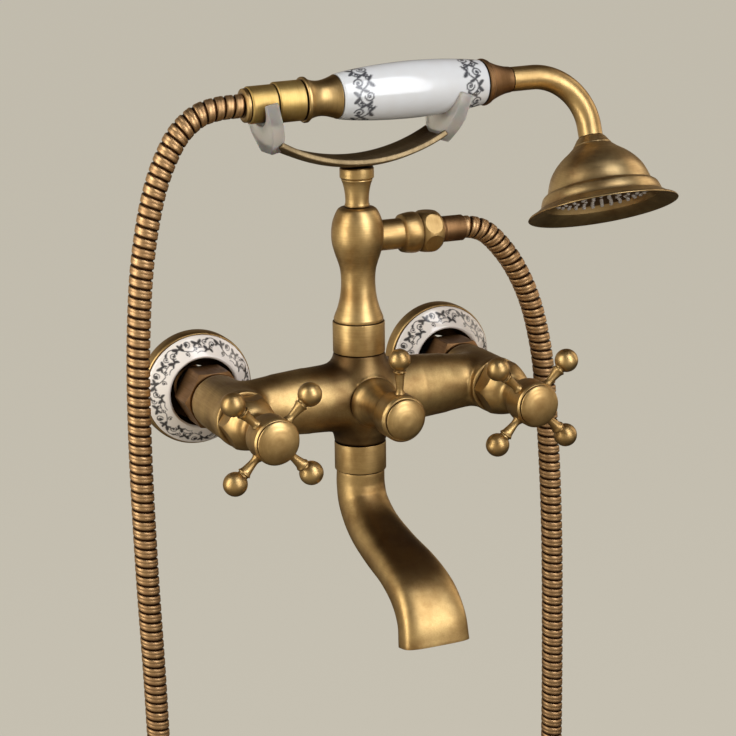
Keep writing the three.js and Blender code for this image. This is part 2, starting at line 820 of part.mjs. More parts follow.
// The bent neck runs in its own X-Z plane: straight, then the bend, then a short tail into the bell.
function headSet() {
  const bend = rad(NECK_BEND);
  const bendStart = NECK_START + NECK_STRAIGHT;
  const steps = 10;
  const arc = Array.from({ length: steps + 1 }, (_, i) => {
    const angle = (bend * i) / steps;
    return new THREE.Vector3(
      bendStart + NECK_BEND_RADIUS * Math.sin(angle), 0, -NECK_BEND_RADIUS * (1 - Math.cos(angle)));
  });
  const heading = new THREE.Vector3(Math.cos(bend), 0, -Math.sin(bend));
  const end = arc[steps].clone().addScaledVector(heading, NECK_TAIL);
  const middle = arc[steps].clone().addScaledVector(heading, NECK_TAIL / 2);
  const start = new THREE.Vector3(NECK_START, 0, 0);
  const straight = new THREE.Vector3(NECK_START + NECK_STRAIGHT / 2, 0, 0);
  const path = new THREE.CatmullRomCurve3([start, straight, ...arc, middle, end]);
  const section = new THREE.Shape().absarc(0, 0, NECK_RADIUS, 0, Math.PI * 2, false);
  section.holes.push(new THREE.Path().absarc(0, 0, NECK_RADIUS - 1.5, 0, Math.PI * 2, true));
  const neck = new THREE.ExtrudeGeometry(section,
    { steps: 12, curveSegments: 6, bevelEnabled: false, extrudePath: path });

  // Bell outline: [radius, distance below its collar], outside down, then back up inside the wall.
  const outside = [
    [6.9, GAP],
    [8.3, 1.6],
    [10.4, 5],
    [14.2, 8.6],
    [19.6, 12.6],
    [24.4, 18],
    [27.2, 24],
    [29, 29.2],
    [30.8, 30],
    [32.8, 33.4],
    [34.4, 37],
    [BELL_RADIUS, BELL_HEIGHT - 0.8],
    [BELL_RADIUS, BELL_HEIGHT],
  ];
  const inside = [
    [40.2, BELL_HEIGHT],
    [32.4, 37.4],
    [27, 29],
    [22.4, 18.6],
    [12.8, 10.4],
    [5.3, 4],
    [5.3, GAP],
  ];
  const bell = turnedRing([...outside, ...inside].reverse().map(([radius, down]) => [radius, -down]), WIDE_SIDES);
  const face = turned([
    [0, -34.8],
    [19, -34.6],
    [26.8, -33.8],
    [28.5, -32.8],
    [27.9, -31.8],
    [0, -31.8],
  ], WIDE_SIDES);
  const headParts = groupAt(end.x, 0, end.z,
    piece("shower_bell", upwards(bell), brass),
    piece("spray_face", upwards(face), darkBrass));
  headParts.rotation.y = bend - Math.PI / 2;
  const head = groupAt(0, 0, 0, piece("handset_neck", neck, brass), headParts);
  head.rotation.x = -rad(HEAD_LEAN);
  return head;
}

function handset() {
  const group = groupAt(0, 0, HANDSET_HEIGHT, ...handsetBar(), headSet());
  group.rotation.y = -rad(HANDSET_TILT);
  return group;
}

// ---- Shower hose ----
// Route in the upright plane of the body axis as [x, z]: from the outlet down the right side, round the
// hanging loop and up the left side to the handset.
const HOSE_ROUTE = [
  [FERRULE_END + GAP, OUTLET_HEIGHT],
  [67, OUTLET_HEIGHT - 0.1],
  [77, 83.2],
  [91, 69],
  [100.8, 53],
  [107.2, 37.5],
  [111.6, 21],
  [114.6, 5],
  [119.3, -48],
  [122, -100],
  [123.2, -160],
  [123.6, -220],
  [123.2, -300],
  [119.5, -385],
  [106, -447],
  [79, -497],
  [42, -527],
  [0, -537],
  [-42, -527],
  [-79, -497],
  [-106, -447],
  [-119, -385],
  [-121.8, -300],
  [-122.4, -220],
  [-123.5, -150],
  [-125.5, -80],
  [-126.3, -20],
  [-125.8, 20],
  [-124.4, 50],
  [-121.6, 80],
  [-117.6, 103],
  [-112.6, 122],
  [-106.4, 137],
  [-98.5, 149.5],
  [-88, 157.8],
  [-77, 160.7],
  [-69, 161.2],
];

function showerHose() {
  const tilt = rad(HANDSET_TILT);
  const along = HANDSET_TAIL - GAP;
  const end = [along * Math.cos(tilt), HANDSET_HEIGHT + along * Math.sin(tilt)];
  const route = [...HOSE_ROUTE, end].map(([x, z]) => new THREE.Vector3(x, 0, z));
  const path = new THREE.CatmullRomCurve3(route, false, "centripetal");
  const section = new THREE.Shape().absarc(0, 0, HOSE_RADIUS, 0, Math.PI * 2, false);
  const hose = new THREE.ExtrudeGeometry(section,
    { steps: 52, curveSegments: 4, bevelEnabled: false, extrudePath: path });
  return piece("shower_hose", hose, hoseMetal);
}

// ---- Assembly ----
const faucet = new THREE.Group();
for (const [side, sign] of [["left", -1], ["right", 1]]) {
  const x = (sign * INLET_SPACING) / 2;
  faucet.add(groupAt(x, 0, 0, ...wallSet(side), ...valveAndHandle(side)));
}
faucet.add(
  piece("mixer_body", mixerBody(), brass),
  ...diverter(),
  groupAt(0, -BODY_DEPTH, 0, ...riser(), ...cradle(), ...spoutSet(), handset(), showerHose()),
);

export default faucet;
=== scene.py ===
import bpy
import json
from math import acos, asin, atan2, ceil, copysign, cos, hypot, pi, radians, sin, sqrt, tan
from mathutils import Matrix, Vector, kdtree


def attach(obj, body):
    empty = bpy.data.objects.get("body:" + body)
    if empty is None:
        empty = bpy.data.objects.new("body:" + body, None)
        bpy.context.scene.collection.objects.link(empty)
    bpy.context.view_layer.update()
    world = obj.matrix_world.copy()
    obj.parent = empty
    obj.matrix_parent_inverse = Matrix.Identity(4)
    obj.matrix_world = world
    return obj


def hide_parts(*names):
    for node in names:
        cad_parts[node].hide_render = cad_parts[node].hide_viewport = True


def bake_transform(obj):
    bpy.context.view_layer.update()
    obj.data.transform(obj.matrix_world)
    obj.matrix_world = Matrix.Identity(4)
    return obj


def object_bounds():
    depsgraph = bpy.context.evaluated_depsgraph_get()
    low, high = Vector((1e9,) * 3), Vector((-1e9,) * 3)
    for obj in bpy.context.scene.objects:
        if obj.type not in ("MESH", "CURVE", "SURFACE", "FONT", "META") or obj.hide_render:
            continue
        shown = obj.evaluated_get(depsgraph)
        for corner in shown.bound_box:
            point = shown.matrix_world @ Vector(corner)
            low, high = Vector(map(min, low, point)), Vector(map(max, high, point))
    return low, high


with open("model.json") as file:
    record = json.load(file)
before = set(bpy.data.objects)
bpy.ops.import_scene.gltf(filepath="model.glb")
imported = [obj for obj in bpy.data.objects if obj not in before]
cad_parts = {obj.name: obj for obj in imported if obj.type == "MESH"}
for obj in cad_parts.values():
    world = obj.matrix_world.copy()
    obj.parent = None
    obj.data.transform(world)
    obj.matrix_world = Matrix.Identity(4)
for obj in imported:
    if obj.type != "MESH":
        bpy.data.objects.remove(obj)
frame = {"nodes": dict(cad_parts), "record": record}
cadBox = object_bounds()
print("frame loaded")

mm = 0.001
record = frame["record"]
scene = bpy.context.scene
scene.view_settings.view_transform = "Standard"

# The main axes come from the joints of the frame.
jointPlace = {j["name"]: Vector(j["pos_m"]) for j in record["behaviour"]["joints"] if "pos_m" in j}
handleX = {"left": jointPlace["hot_handle_turn"].x / mm, "right": jointPlace["cold_handle_turn"].x / mm}
bodyY = jointPlace["spout_swivel"].y / mm
bodyOfNode = {node: body for body, nodes in record["behaviour"]["bodies"].items() for node in nodes}
slotOfNode = {row["node"]: row["material_slot"] for row in record["subparts"]}

bodyPlace = (0, bodyY, 0)

out = (0, -1, 0)
up = (0, 0, 1)
right = (1, 0, 0)

cameraSettings = {
    "place": (-0.43106, -1.01175, 0.28958),
    "yaw": 0.42942,
    "pitch": 0.25726,
    "roll": -0.01196,
    "lens": 97.04,
    "sensor": 36,
}


def pick(settings, *names):
    return [settings[name] for name in names]


def makeCamera(settings):
    yaw, pitch, roll = pick(settings, "yaw", "pitch", "roll")
    ahead = Vector((sin(yaw) * cos(pitch), cos(yaw) * cos(pitch), -sin(pitch)))
    side = Vector((cos(yaw), -sin(yaw), 0))
    top = side.cross(ahead)
    rolledSide = side * cos(roll) + top * sin(roll)
    rolledTop = top * cos(roll) - side * sin(roll)
    data = bpy.data.cameras.new("camera")
    data.lens = settings["lens"]
    data.sensor_width = settings["sensor"]
    camera = bpy.data.objects.new("camera", data)
    turn = Matrix((rolledSide, rolledTop, -ahead)).transposed().to_4x4()
    camera.matrix_world = Matrix.Translation(Vector(settings["place"])) @ turn
    scene.collection.objects.link(camera)
    scene.camera = camera


makeCamera(cameraSettings)
print("camera placed")


# Selecting, editing and finishing

def deselect():
    bpy.ops.object.select_all(action="DESELECT")


def pickOnly(piece):
    deselect()
    piece.select_set(True)
    bpy.context.view_layer.objects.active = piece


def newest(name):
    piece = bpy.context.object
    piece.name = name
    return piece


def edit(piece, choose="SELECT"):
    pickOnly(piece)
    bpy.ops.object.mode_set(mode="EDIT")
    bpy.ops.mesh.select_all(action=choose)


def leaveEdit():
    bpy.ops.object.mode_set(mode="OBJECT")


# Merges vertices that coincide, turns every face outwards and leaves edit mode.
def closeMesh(gap=0):
    bpy.ops.mesh.select_all(action="SELECT")
    if gap:
        bpy.ops.mesh.remove_doubles(threshold=gap * mm)
    bpy.ops.mesh.normals_make_consistent(inside=False)
    leaveEdit()


def applyPlace(piece):
    pickOnly(piece)
    bpy.ops.object.transform_apply(location=True, rotation=True, scale=True)


def addWall(piece, thickness):
    wall = piece.modifiers.new("wall", "SOLIDIFY")
    wall.thickness = thickness * mm
    wall.offset = -1


# Rounds every edge that turns by more than the angle.
def addRim(piece, width, degrees):
    rim = piece.modifiers.new("rim", "BEVEL")
    rim.width = width * mm
    rim.segments = 3
    rim.limit_method = "ANGLE"
    rim.angle_limit = radians(degrees)


def applyModifiers(piece):
    pickOnly(piece)
    for modifier in list(piece.modifiers):
        bpy.ops.object.modifier_apply(modifier=modifier.name)


def smooth(piece, degrees=32):
    pickOnly(piece)
    bpy.ops.object.shade_smooth_by_angle(angle=radians(degrees))


def paint(piece, name, values):
    piece.data.attributes.new(name, "FLOAT", "POINT").data.foreach_set("value", values)


# Stands a piece modelled along +Z on another axis, at a place in mm.
def stand(piece, direction, place=(0, 0, 0)):
    piece.rotation_mode = "QUATERNION"
    piece.rotation_quaternion = Vector(direction).to_track_quat("Z", "Y")
    piece.location = Vector(place) * mm
    applyPlace(piece)
    return piece


def copyOf(piece, name):
    twin = piece.copy()
    twin.data = piece.data.copy()
    twin.name = name
    scene.collection.objects.link(twin)
    return twin


def discard(piece):
    bpy.data.objects.remove(piece, do_unlink=True)


def combine(piece, other, operation):
    modifier = piece.modifiers.new(operation.lower(), "BOOLEAN")
    modifier.operation = operation
    modifier.solver = "EXACT"
    modifier.object = other
    applyModifiers(piece)
    discard(other)
    return piece


def clothe(piece, material):
    piece.data.materials.clear()
    piece.data.materials.append(material)


# The piece takes a CAD node's place: its body, its slot and its material.
def settle(piece, node, material):
    piece.name = node + "_fine"
    clothe(piece, material)
    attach(piece, bodyOfNode[node])
    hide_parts(node)


# A piece made on the middle plane stands at the left valve, and its copy at the right one.
def settlePair(piece, node, material):
    twin = copyOf(piece, node)
    for side, copied in (("left", piece), ("right", twin)):
        copied.location = (handleX[side] * mm, 0, 0)
        applyPlace(copied)
        settle(copied, node.format(side), material)


# Turning: corners of an outline of (radius, height) become small arcs, gentle bends stay.

turningSettings = {
    "gentleBend": radians(14),
    "sharpBend": 0.9,
    "edgeShare": 0.45,  # the most of an edge that one arc may take
    "mergeGap": 0.002,
}


def softened(outline, fillet):
    gentle, sharp, most = pick(turningSettings, "gentleBend", "sharpBend", "edgeShare")
    closed = outline[0] == outline[-1]
    points = [Vector(p) for p in outline]
    soft = []
    for i, point in enumerate(points):
        inside = 0 < i < len(points) - 1
        if not inside and not closed:
            soft.append(point)
            continue
        before = points[i - 1] if i > 0 else points[-2]
        after = points[i + 1] if inside or i == 0 else points[1]
        toBefore, toAfter = before - point, after - point
        bend = pi - toBefore.angle(toAfter, pi)
        if bend < gentle or point.x < 0.01:
            soft.append(point)
            continue
        reach = min(fillet * tan(bend / 2), most * toBefore.length, most * toAfter.length)
        start = point + toBefore.normalized() * reach
        end = point + toAfter.normalized() * reach
        steps = 4 if bend > sharp else 3
        for k in range(steps + 1):
            t = k / steps
            soft.append(start * (1 - t) ** 2 + point * 2 * t * (1 - t) + end * t ** 2)
    return soft


# Points on a smooth line through the given ones.
def through(points, steps=4):
    line = [Vector(p) for p in points]
    ends = [2 * line[0] - line[1]] + line + [2 * line[-1] - line[-2]]
    smoothLine = [line[0]]
    for a, b, c, d in zip(ends, ends[1:], ends[2:], ends[3:]):
        for k in range(1, steps + 1):
            t = k / steps
            smoothLine.append(0.5 * (2 * b + (c - a) * t + (2 * a - 5 * b + 4 * c - d) * t ** 2
                                     + (3 * b - a - 3 * c + d) * t ** 3))
    return smoothLine


# A vertex is extruded along the outline, and the outline is spun round Z.
def turnPiece(name, outline, fillet=0.35, steps=64):
    points = [Vector((p.x, 0, p.y)) * mm for p in softened(outline, fillet)]
    deselect()
    bpy.ops.mesh.primitive_plane_add(size=mm)
    piece = newest(name)
    edit(piece)
    bpy.ops.mesh.merge(type="CENTER")
    bpy.ops.transform.translate(value=points[0])
    for here, there in zip(points, points[1:]):
        bpy.ops.mesh.extrude_vertices_move(TRANSFORM_OT_translate={"value": there - here})
    bpy.ops.mesh.select_all(action="SELECT")
    bpy.ops.mesh.spin(steps=steps, angle=2 * pi, center=(0, 0, 0), axis=(0, 0, 1))
    closeMesh(turningSettings["mergeGap"])
    smooth(piece)
    return piece


# The same for a piece with a bore, whose outline closes on its first point.
def turnRing(name, outline, fillet=0.35, steps=64):
    return turnPiece(name, outline + [outline[0]], fillet, steps)


def hexBar(flats, start, end, chamfer=0):
    deselect()
    bpy.ops.mesh.primitive_cylinder_add(
        vertices=6, radius=flats / sqrt(3) * mm, depth=(end - start) * mm,
        location=(0, 0, (start + end) / 2 * mm), rotation=(0, 0, pi / 6))
    bar = newest("hexBar")
    applyPlace(bar)
    if chamfer:
        edit(bar)
        bpy.ops.mesh.bevel(offset=chamfer * mm, segments=2)
        leaveEdit()
    return bar


# A flat grid rolled into a tube along a line of centres. section(t, turn) gives the point across and deep.
def tubeAlong(name, centres, section, sides=48, sideways=right):
    rings = len(centres) - 1
    deselect()
    bpy.ops.mesh.primitive_grid_add(x_subdivisions=sides, y_subdivisions=rings, size=2)
    piece = newest(name)
    across = Vector(sideways)
    for vertex in piece.data.vertices:
        ring = round((vertex.co.y + 1) / 2 * rings)
        ahead = centres[min(ring + 1, rings)] - centres[max(ring - 1, 0)]
        deep = across.cross(ahead).normalized()
        x, y = section(ring / rings, (vertex.co.x + 1) * pi)
        vertex.co = (centres[ring] + across * x + deep * y) * mm
    edit(piece)
    closeMesh(turningSettings["mergeGap"])
    return piece


# The shower hose comes first: its route is (x, z) in the upright plane of the body.

hoseSettings = {
    "radius": 6.2,
    "grooveRadius": 5.35,
    "pitch": 5.2,  # one turn of the interlocked strip
    # share of the turn and rise: a groove, then a crown with a fine line rolled into it
    "profile": [(0, 0), (0.11, 0), (0.19, 0.8), (0.3, 1), (0.52, 1), (0.59, 0.84), (0.66, 1), (0.84, 1),
                (0.93, 0.75)],
    "sides": 24,
    "stillFrom": (0.0148, -0.059, -0.0074),
    "movesFrom": (-0.116, -0.059, 0.058),
    "route": [
        (62.8, 86.8), (67, 86.7), (77, 83.2), (91, 69), (100.8, 53), (107.2, 37.5), (111.6, 21), (114.6, 5),
        (119.3, -48), (122, -100), (123.2, -160), (123.6, -220), (123.2, -300), (119.5, -385), (106, -447),
        (79, -497), (42, -527), (0, -537), (-42, -527), (-79, -497), (-106, -447), (-119, -385),
        (-121.8, -300), (-122.4, -220), (-123.5, -150), (-125.5, -80), (-126.3, -20), (-125.8, 20),
        (-124.4, 50), (-121.6, 80), (-117.6, 103), (-112.6, 122), (-106.4, 137), (-98.5, 149.5),
        (-88, 157.8), (-77, 160.7), (-69, 161.2), (-64.57, 161.35),
    ],
}


# Even steps along a smooth centripetal line through the route.
def evenLine(route, step, between=40):
    points = [Vector((x, bodyY, z)) for x, z in route]
    ends = [2 * points[0] - points[1]] + points + [2 * points[-1] - points[-2]]
    dense = [points[0]]
    for four in zip(ends, ends[1:], ends[2:], ends[3:]):
        knots = [0]
        for here, there in zip(four, four[1:]):
            knots.append(knots[-1] + (there - here).length ** 0.5)
        for k in range(1, between + 1):
            t = knots[1] + (knots[2] - knots[1]) * k / between
            row = list(four)
            for span, first in ((1, 0), (2, 0), (1, 1)):
                row = [a.lerp(b, (t - knots[first + i]) / (knots[first + i + span] - knots[first + i]))
                       for i, (a, b) in enumerate(zip(row, row[1:]))]
            dense.append(row[0])
    lengths = [0]
    for here, there in zip(dense, dense[1:]):
        lengths.append(lengths[-1] + (there - here).length)
    total = lengths[-1]
    even = []
    count = round(total / step)
    at = 0
    for i in range(count + 1):
        wanted = total * i / count
        while at < len(lengths) - 2 and lengths[at + 1] < wanted:
            at += 1
        share = (wanted - lengths[at]) / (lengths[at + 1] - lengths[at])
        even.append(dense[at].lerp(dense[at + 1], min(max(share, 0), 1)))
    return even, total


# One helical strip: every turn has a narrow groove and a crown with a fine line rolled into it.
def ribbedHose(settings):
    line, total = evenLine(settings["route"], 1)
    pitch, sides, profile, crest, groove = pick(settings, "pitch", "sides", "profile", "radius", "grooveRadius")
    columns = (ceil(total / pitch) + 1) * len(profile)
    deselect()
    bpy.ops.mesh.primitive_grid_add(x_subdivisions=sides, y_subdivisions=columns, size=2)
    hose = newest("shower_hose_ribbed")
    crown = []
    across = Vector((0, 1, 0))
    for vertex in hose.data.vertices:
        column = round((vertex.co.y + 1) / 2 * columns)
        side = round((vertex.co.x + 1) / 2 * sides)
        turn = 2 * pi * side / sides
        wholeTurns, inTurn = divmod(column, len(profile))
        share, rise = profile[inTurn]
        along = min(max((wholeTurns - 1 + share + side / sides) * pitch, 0), total)
        place = along / total * (len(line) - 1)
        at = min(int(place), len(line) - 2)
        centre = line[at].lerp(line[at + 1], place - at)
        ahead = (line[min(at + 2, len(line) - 1)] - line[max(at - 1, 0)]).normalized()
        deep = across.cross(ahead).normalized()
        radius = groove + (crest - groove) * rise
        vertex.co = (centre + (across * cos(turn) + deep * sin(turn)) * radius) * mm
        crown.append(rise)
    paint(hose, "crown", crown)
    edit(hose)
    bpy.ops.mesh.remove_doubles(threshold=2 * turningSettings["mergeGap"] * mm)
    bpy.ops.mesh.select_all(action="DESELECT")
    bpy.ops.mesh.select_non_manifold()
    bpy.ops.mesh.edge_face_add()
    closeMesh()
    smooth(hose, 50)
    print("hose", round(total), "mm,", len(hose.data.polygons), "faces")
    return hose, [tuple(p * mm) for p in line[::8] + line[-1:]], total * mm


hose, hosePath, hoseLength = ribbedHose(hoseSettings)
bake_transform(hose)
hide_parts("shower_hose")
print("hose made")


# Materials

def linear(hexColour):
    channels = [int(hexColour[i:i + 2], 16) / 255 for i in (1, 3, 5)]
    return tuple(c / 12.92 if c <= 0.04045 else ((c + 0.055) / 1.055) ** 2.4 for c in channels) + (1,)


def addNode(material, kind, values={}, links={}, **settings):
    node = material.node_tree.nodes.new(kind)
    for key, value in settings.items():
        setattr(node, key, value)
    for key, value in values.items():
        node.inputs[key].default_value = value
    for key, socket in links.items():
        material.node_tree.links.new(socket, node.inputs[key])
    return node


def newMaterial(name, **values):
    material = bpy.data.materials.new(name)
    material.use_nodes = True
    shader = material.node_tree.nodes["Principled BSDF"]
    for key, value in values.items():
        shader.inputs[key.replace("_", " ")].default_value = value
    return material, shader


brassSettings = {
    "brushAcross": 2500,  # brush lines 0.4 mm apart, drawn coarser than the real 0.1 mm so that they show
    "brushAlong": 60,
    "cloudScale": 65,  # clouds of patina about 15 mm across
    "hollowReach": 16,
    "topShadeBrown": "#3a2413",
    "patinaShadeBrown": "#3d2614",
    "hollowPatinaShade": "#50341a",
    "jointPatinaShade": "#241508",
}


# Antique brass: turned or cast, chemically darkened, brushed back to gold on the proud faces and lacquered.
# It gives a soft satin sheen, fine brush lines, browner clouds, painted shade on level upper faces, and patina with
# painted shade in the hollows, near black in the joints.
def antiqueBrass(name, gold, brown, brush, roughness=0.38, topShade=0.12):
    material, shader = newMaterial(name, Metallic=1, Roughness=roughness)
    link = material.node_tree.links.new
    finish = brassSettings
    place = addNode(material, "ShaderNodeTexCoord").outputs["Object"]
    scale = [finish["brushAcross"] if across else finish["brushAlong"] for across in brush]
    lines = addNode(material, "ShaderNodeMapping", {"Scale": scale}, {"Vector": place})
    grain = addNode(material, "ShaderNodeTexNoise", {"Scale": 1, "Detail": 3, "Roughness": 0.6},
                    {"Vector": lines.outputs[0]})
    clouds = addNode(material, "ShaderNodeTexNoise", {"Scale": finish["cloudScale"], "Detail": 4, "Roughness": 0.6},
                     {"Vector": place})
    cloudShare = addNode(material, "ShaderNodeMapRange", {1: 0.35, 2: 0.72, 3: 0.0, 4: 0.85},
                         {"Value": clouds.outputs["Fac"]})
    worn = addNode(material, "ShaderNodeMix", {"A": linear(gold), "B": linear(brown)},
                   {"Factor": cloudShare.outputs[0]}, data_type="RGBA")
    streakShare = addNode(material, "ShaderNodeMapRange", {1: 0.3, 2: 0.7, 3: 0.0, 4: 0.3},
                          {"Value": grain.outputs["Fac"]})
    streaked = addNode(material, "ShaderNodeMix", {"B": linear(brown)},
                       {"Factor": streakShare.outputs[0], "A": worn.outputs[2]}, data_type="RGBA")
    # painted shade: level upper faces are coloured browner, a painted reflection of the dark overhead
    facing = addNode(material, "ShaderNodeSeparateXYZ", {},
                     {0: addNode(material, "ShaderNodeTexCoord").outputs["Normal"]})
    topShadeShare = addNode(material, "ShaderNodeMapRange", {1: 0.72, 2: 0.95, 3: 0.0, 4: topShade},
                       {"Value": facing.outputs["Z"]}, interpolation_type="SMOOTHSTEP")
    topShaded = addNode(material, "ShaderNodeMix", {"B": linear(finish["topShadeBrown"])},
                     {"Factor": topShadeShare.outputs[0], "A": streaked.outputs[2]}, data_type="RGBA")
    # heavy patina with painted shade where a piece carries the attribute
    darkened = addNode(material, "ShaderNodeAttribute", attribute_name="patinaAndShade")
    patinaShaded = addNode(material, "ShaderNodeMix", {"B": linear(finish["patinaShadeBrown"])},
                      {"Factor": darkened.outputs["Fac"], "A": topShaded.outputs[2]}, data_type="RGBA")
    # patina with painted shade: brown where a point is occluded in wide hollows, and nearly black in the joints
    hollows = addNode(material, "ShaderNodeAmbientOcclusion", {"Distance": finish["hollowReach"] * mm}, samples=8)
    hollowShare = addNode(material, "ShaderNodeMapRange", {1: 0.45, 2: 0.88, 3: 0.75, 4: 0.0},
                          {"Value": hollows.outputs["AO"]})
    browned = addNode(material, "ShaderNodeMix", {"B": linear(finish["hollowPatinaShade"])},
                      {"Factor": hollowShare.outputs[0], "A": patinaShaded.outputs[2]}, data_type="RGBA")
    jointShare = addNode(material, "ShaderNodeMapRange", {1: 0.25, 2: 0.62, 3: 0.95, 4: 0.0},
                         {"Value": hollows.outputs["AO"]})
    patinaAndShade = addNode(material, "ShaderNodeMix", {"B": linear(finish["jointPatinaShade"])},
                     {"Factor": jointShare.outputs[0], "A": browned.outputs[2]}, data_type="RGBA")
    link(patinaAndShade.outputs[2], shader.inputs["Base Color"])
    rough = addNode(material, "ShaderNodeMapRange", {1: 0.3, 2: 0.7, 3: roughness - 0.05, 4: roughness + 0.1},
                    {"Value": grain.outputs["Fac"]})
    link(rough.outputs[0], shader.inputs["Roughness"])
    bump = addNode(material, "ShaderNodeBump", {"Strength": 0.12, "Distance": 0.02 * mm},
                   {"Height": grain.outputs["Fac"]})
    link(bump.outputs[0], shader.inputs["Normal"])
    return material


# Glazed porcelain: poured, fired white and clear glazed over a printed scroll. Bright, with sharp reflections.
def glazedPorcelain(name, body, ink):
    material, shader = newMaterial(name, Roughness=0.16, IOR=1.5, Coat_Weight=0.4, Coat_Roughness=0.04)
    link = material.node_tree.links.new
    place = addNode(material, "ShaderNodeTexCoord").outputs["Object"]
    # the glaze pools a little, over about 8 mm
    pools = addNode(material, "ShaderNodeTexNoise", {"Scale": 120, "Detail": 2}, {"Vector": place})
    poolShare = addNode(material, "ShaderNodeMapRange", {1: 0.3, 2: 0.7, 3: 0.0, 4: 0.2},
                        {"Value": pools.outputs["Fac"]})
    clay = addNode(material, "ShaderNodeMix", {"A": linear(body), "B": linear("#cfc8c2")},
                   {"Factor": poolShare.outputs[0]}, data_type="RGBA")
    printed = addNode(material, "ShaderNodeAttribute", attribute_name="ink")
    decorated = addNode(material, "ShaderNodeMix", {"B": linear(ink)},
                        {"Factor": printed.outputs["Fac"], "A": clay.outputs[2]}, data_type="RGBA")
    link(decorated.outputs[2], shader.inputs["Base Color"])
    bump = addNode(material, "ShaderNodeBump", {"Strength": 0.05, "Distance": 0.1 * mm},
                   {"Height": pools.outputs["Fac"]})
    link(bump.outputs[0], shader.inputs["Normal"])
    return material


# Brass coated steel strip, rolled and interlocked: gold on the crowns, with painted shade near black in the grooves.
def hoseStrip():
    material, shader = newMaterial("interlockedHoseStrip", Metallic=1, Roughness=0.45)
    link = material.node_tree.links.new
    place = addNode(material, "ShaderNodeTexCoord").outputs["Object"]
    crown = addNode(material, "ShaderNodeAttribute", attribute_name="crown")
    # spots of tarnish about 4 mm across
    tarnish = addNode(material, "ShaderNodeTexNoise", {"Scale": 260, "Detail": 4}, {"Vector": place})
    tarnishShare = addNode(material, "ShaderNodeMapRange", {1: 0.35, 2: 0.7, 3: 0.0, 4: 0.6},
                           {"Value": tarnish.outputs["Fac"]})
    strip = addNode(material, "ShaderNodeMix", {"A": linear("#c5a073"), "B": linear("#9c7754")},
                    {"Factor": tarnishShare.outputs[0]}, data_type="RGBA")
    crownShare = addNode(material, "ShaderNodeMapRange", {1: 0.3, 2: 1.0, 3: 0.0, 4: 1.0},
                         {"Value": crown.outputs["Fac"]})
    # painted shade: the grooves are coloured near black
    shaded = addNode(material, "ShaderNodeMix", {"A": linear("#301a0b")},
                     {"Factor": crownShare.outputs[0], "B": strip.outputs[2]}, data_type="RGBA")
    link(shaded.outputs[2], shader.inputs["Base Color"])
    rough = addNode(material, "ShaderNodeMapRange", {1: 0.3, 2: 0.7, 3: 0.4, 4: 0.56},
                    {"Value": tarnish.outputs["Fac"]})
    link(rough.outputs[0], shader.inputs["Roughness"])
    return material


# Frosted acetal: moulded, waxy and half translucent, so that the metal glows through it.
def frostedAcetal():
    material, shader = newMaterial("frostedAcetal", Roughness=0.3, IOR=1.42, Transmission_Weight=0.8,
                                   Subsurface_Weight=0.25, Subsurface_Scale=2 * mm)
    link = material.node_tree.links.new
    place = addNode(material, "ShaderNodeTexCoord").outputs["Object"]
    # the melt flowed in streaks about 5 mm wide
    flow = addNode(material, "ShaderNodeTexNoise", {"Scale": 180, "Detail": 3}, {"Vector": place})
    milk = addNode(material, "ShaderNodeMix", {"A": linear("#fbf9f5"), "B": linear("#eeeae4")},
                   {"Factor": flow.outputs["Fac"]}, data_type="RGBA")
    link(milk.outputs[2], shader.inputs["Base Color"])
    bump = addNode(material, "ShaderNodeBump", {"Strength": 0.08, "Distance": 0.05 * mm},
                   {"Height": flow.outputs["Fac"]})
    link(bump.outputs[0], shader.inputs["Normal"])
    return material


# A plain material with a mottling 0.7 to 1.4 mm across, for what lies inside: turned steel has a cool shine, moulded
# rubber is nearly black and matt, and a cartridge body is chalky white.
def mottled(name, light, dark, metallic, roughness, scale):
    material, shader = newMaterial(name, Metallic=metallic, Roughness=roughness)
    link = material.node_tree.links.new
    place = addNode(material, "ShaderNodeTexCoord").outputs["Object"]
    grain = addNode(material, "ShaderNodeTexNoise", {"Scale": scale, "Detail": 4}, {"Vector": place})
    tone = addNode(material, "ShaderNodeMix", {"A": linear(light), "B": linear(dark)},
                   {"Factor": grain.outputs["Fac"]}, data_type="RGBA")
    link(tone.outputs[2], shader.inputs["Base Color"])
    bump = addNode(material, "ShaderNodeBump", {"Strength": 0.2, "Distance": 0.03 * mm},
                   {"Height": grain.outputs["Fac"]})
    link(bump.outputs[0], shader.inputs["Normal"])
    return material


turnedGold, turnedBrown = "#cdae76", "#8c6a3e"
# the number after the roughness is the share of painted shade on level upper faces
brassUpright = antiqueBrass("antiqueBrassTurnedUpright", turnedGold, turnedBrown, (0, 0, 1))
brassAlong = antiqueBrass("antiqueBrassTurnedAlong", turnedGold, turnedBrown, (1, 0, 0))
brassOut = antiqueBrass("antiqueBrassTurnedOut", turnedGold, turnedBrown, (0, 1, 0))
brassCast = antiqueBrass("antiqueBrassCast", "#d2b379", "#8f6d43", (1, 0, 1), 0.43, 0.35)
# painted shade: the spout's level upper faces are darkened most
brassSpout = antiqueBrass("antiqueBrassSpout", turnedGold, turnedBrown, (1, 0, 1), 0.42, 0.85)
# painted light: a lighter copy of the turned brass for the bell, for its bright highlights
brassBellPaintedLight = antiqueBrass("antiqueBrassBellPaintedLight", "#dcc08a", "#957349", (0, 0, 1), 0.36, 0)
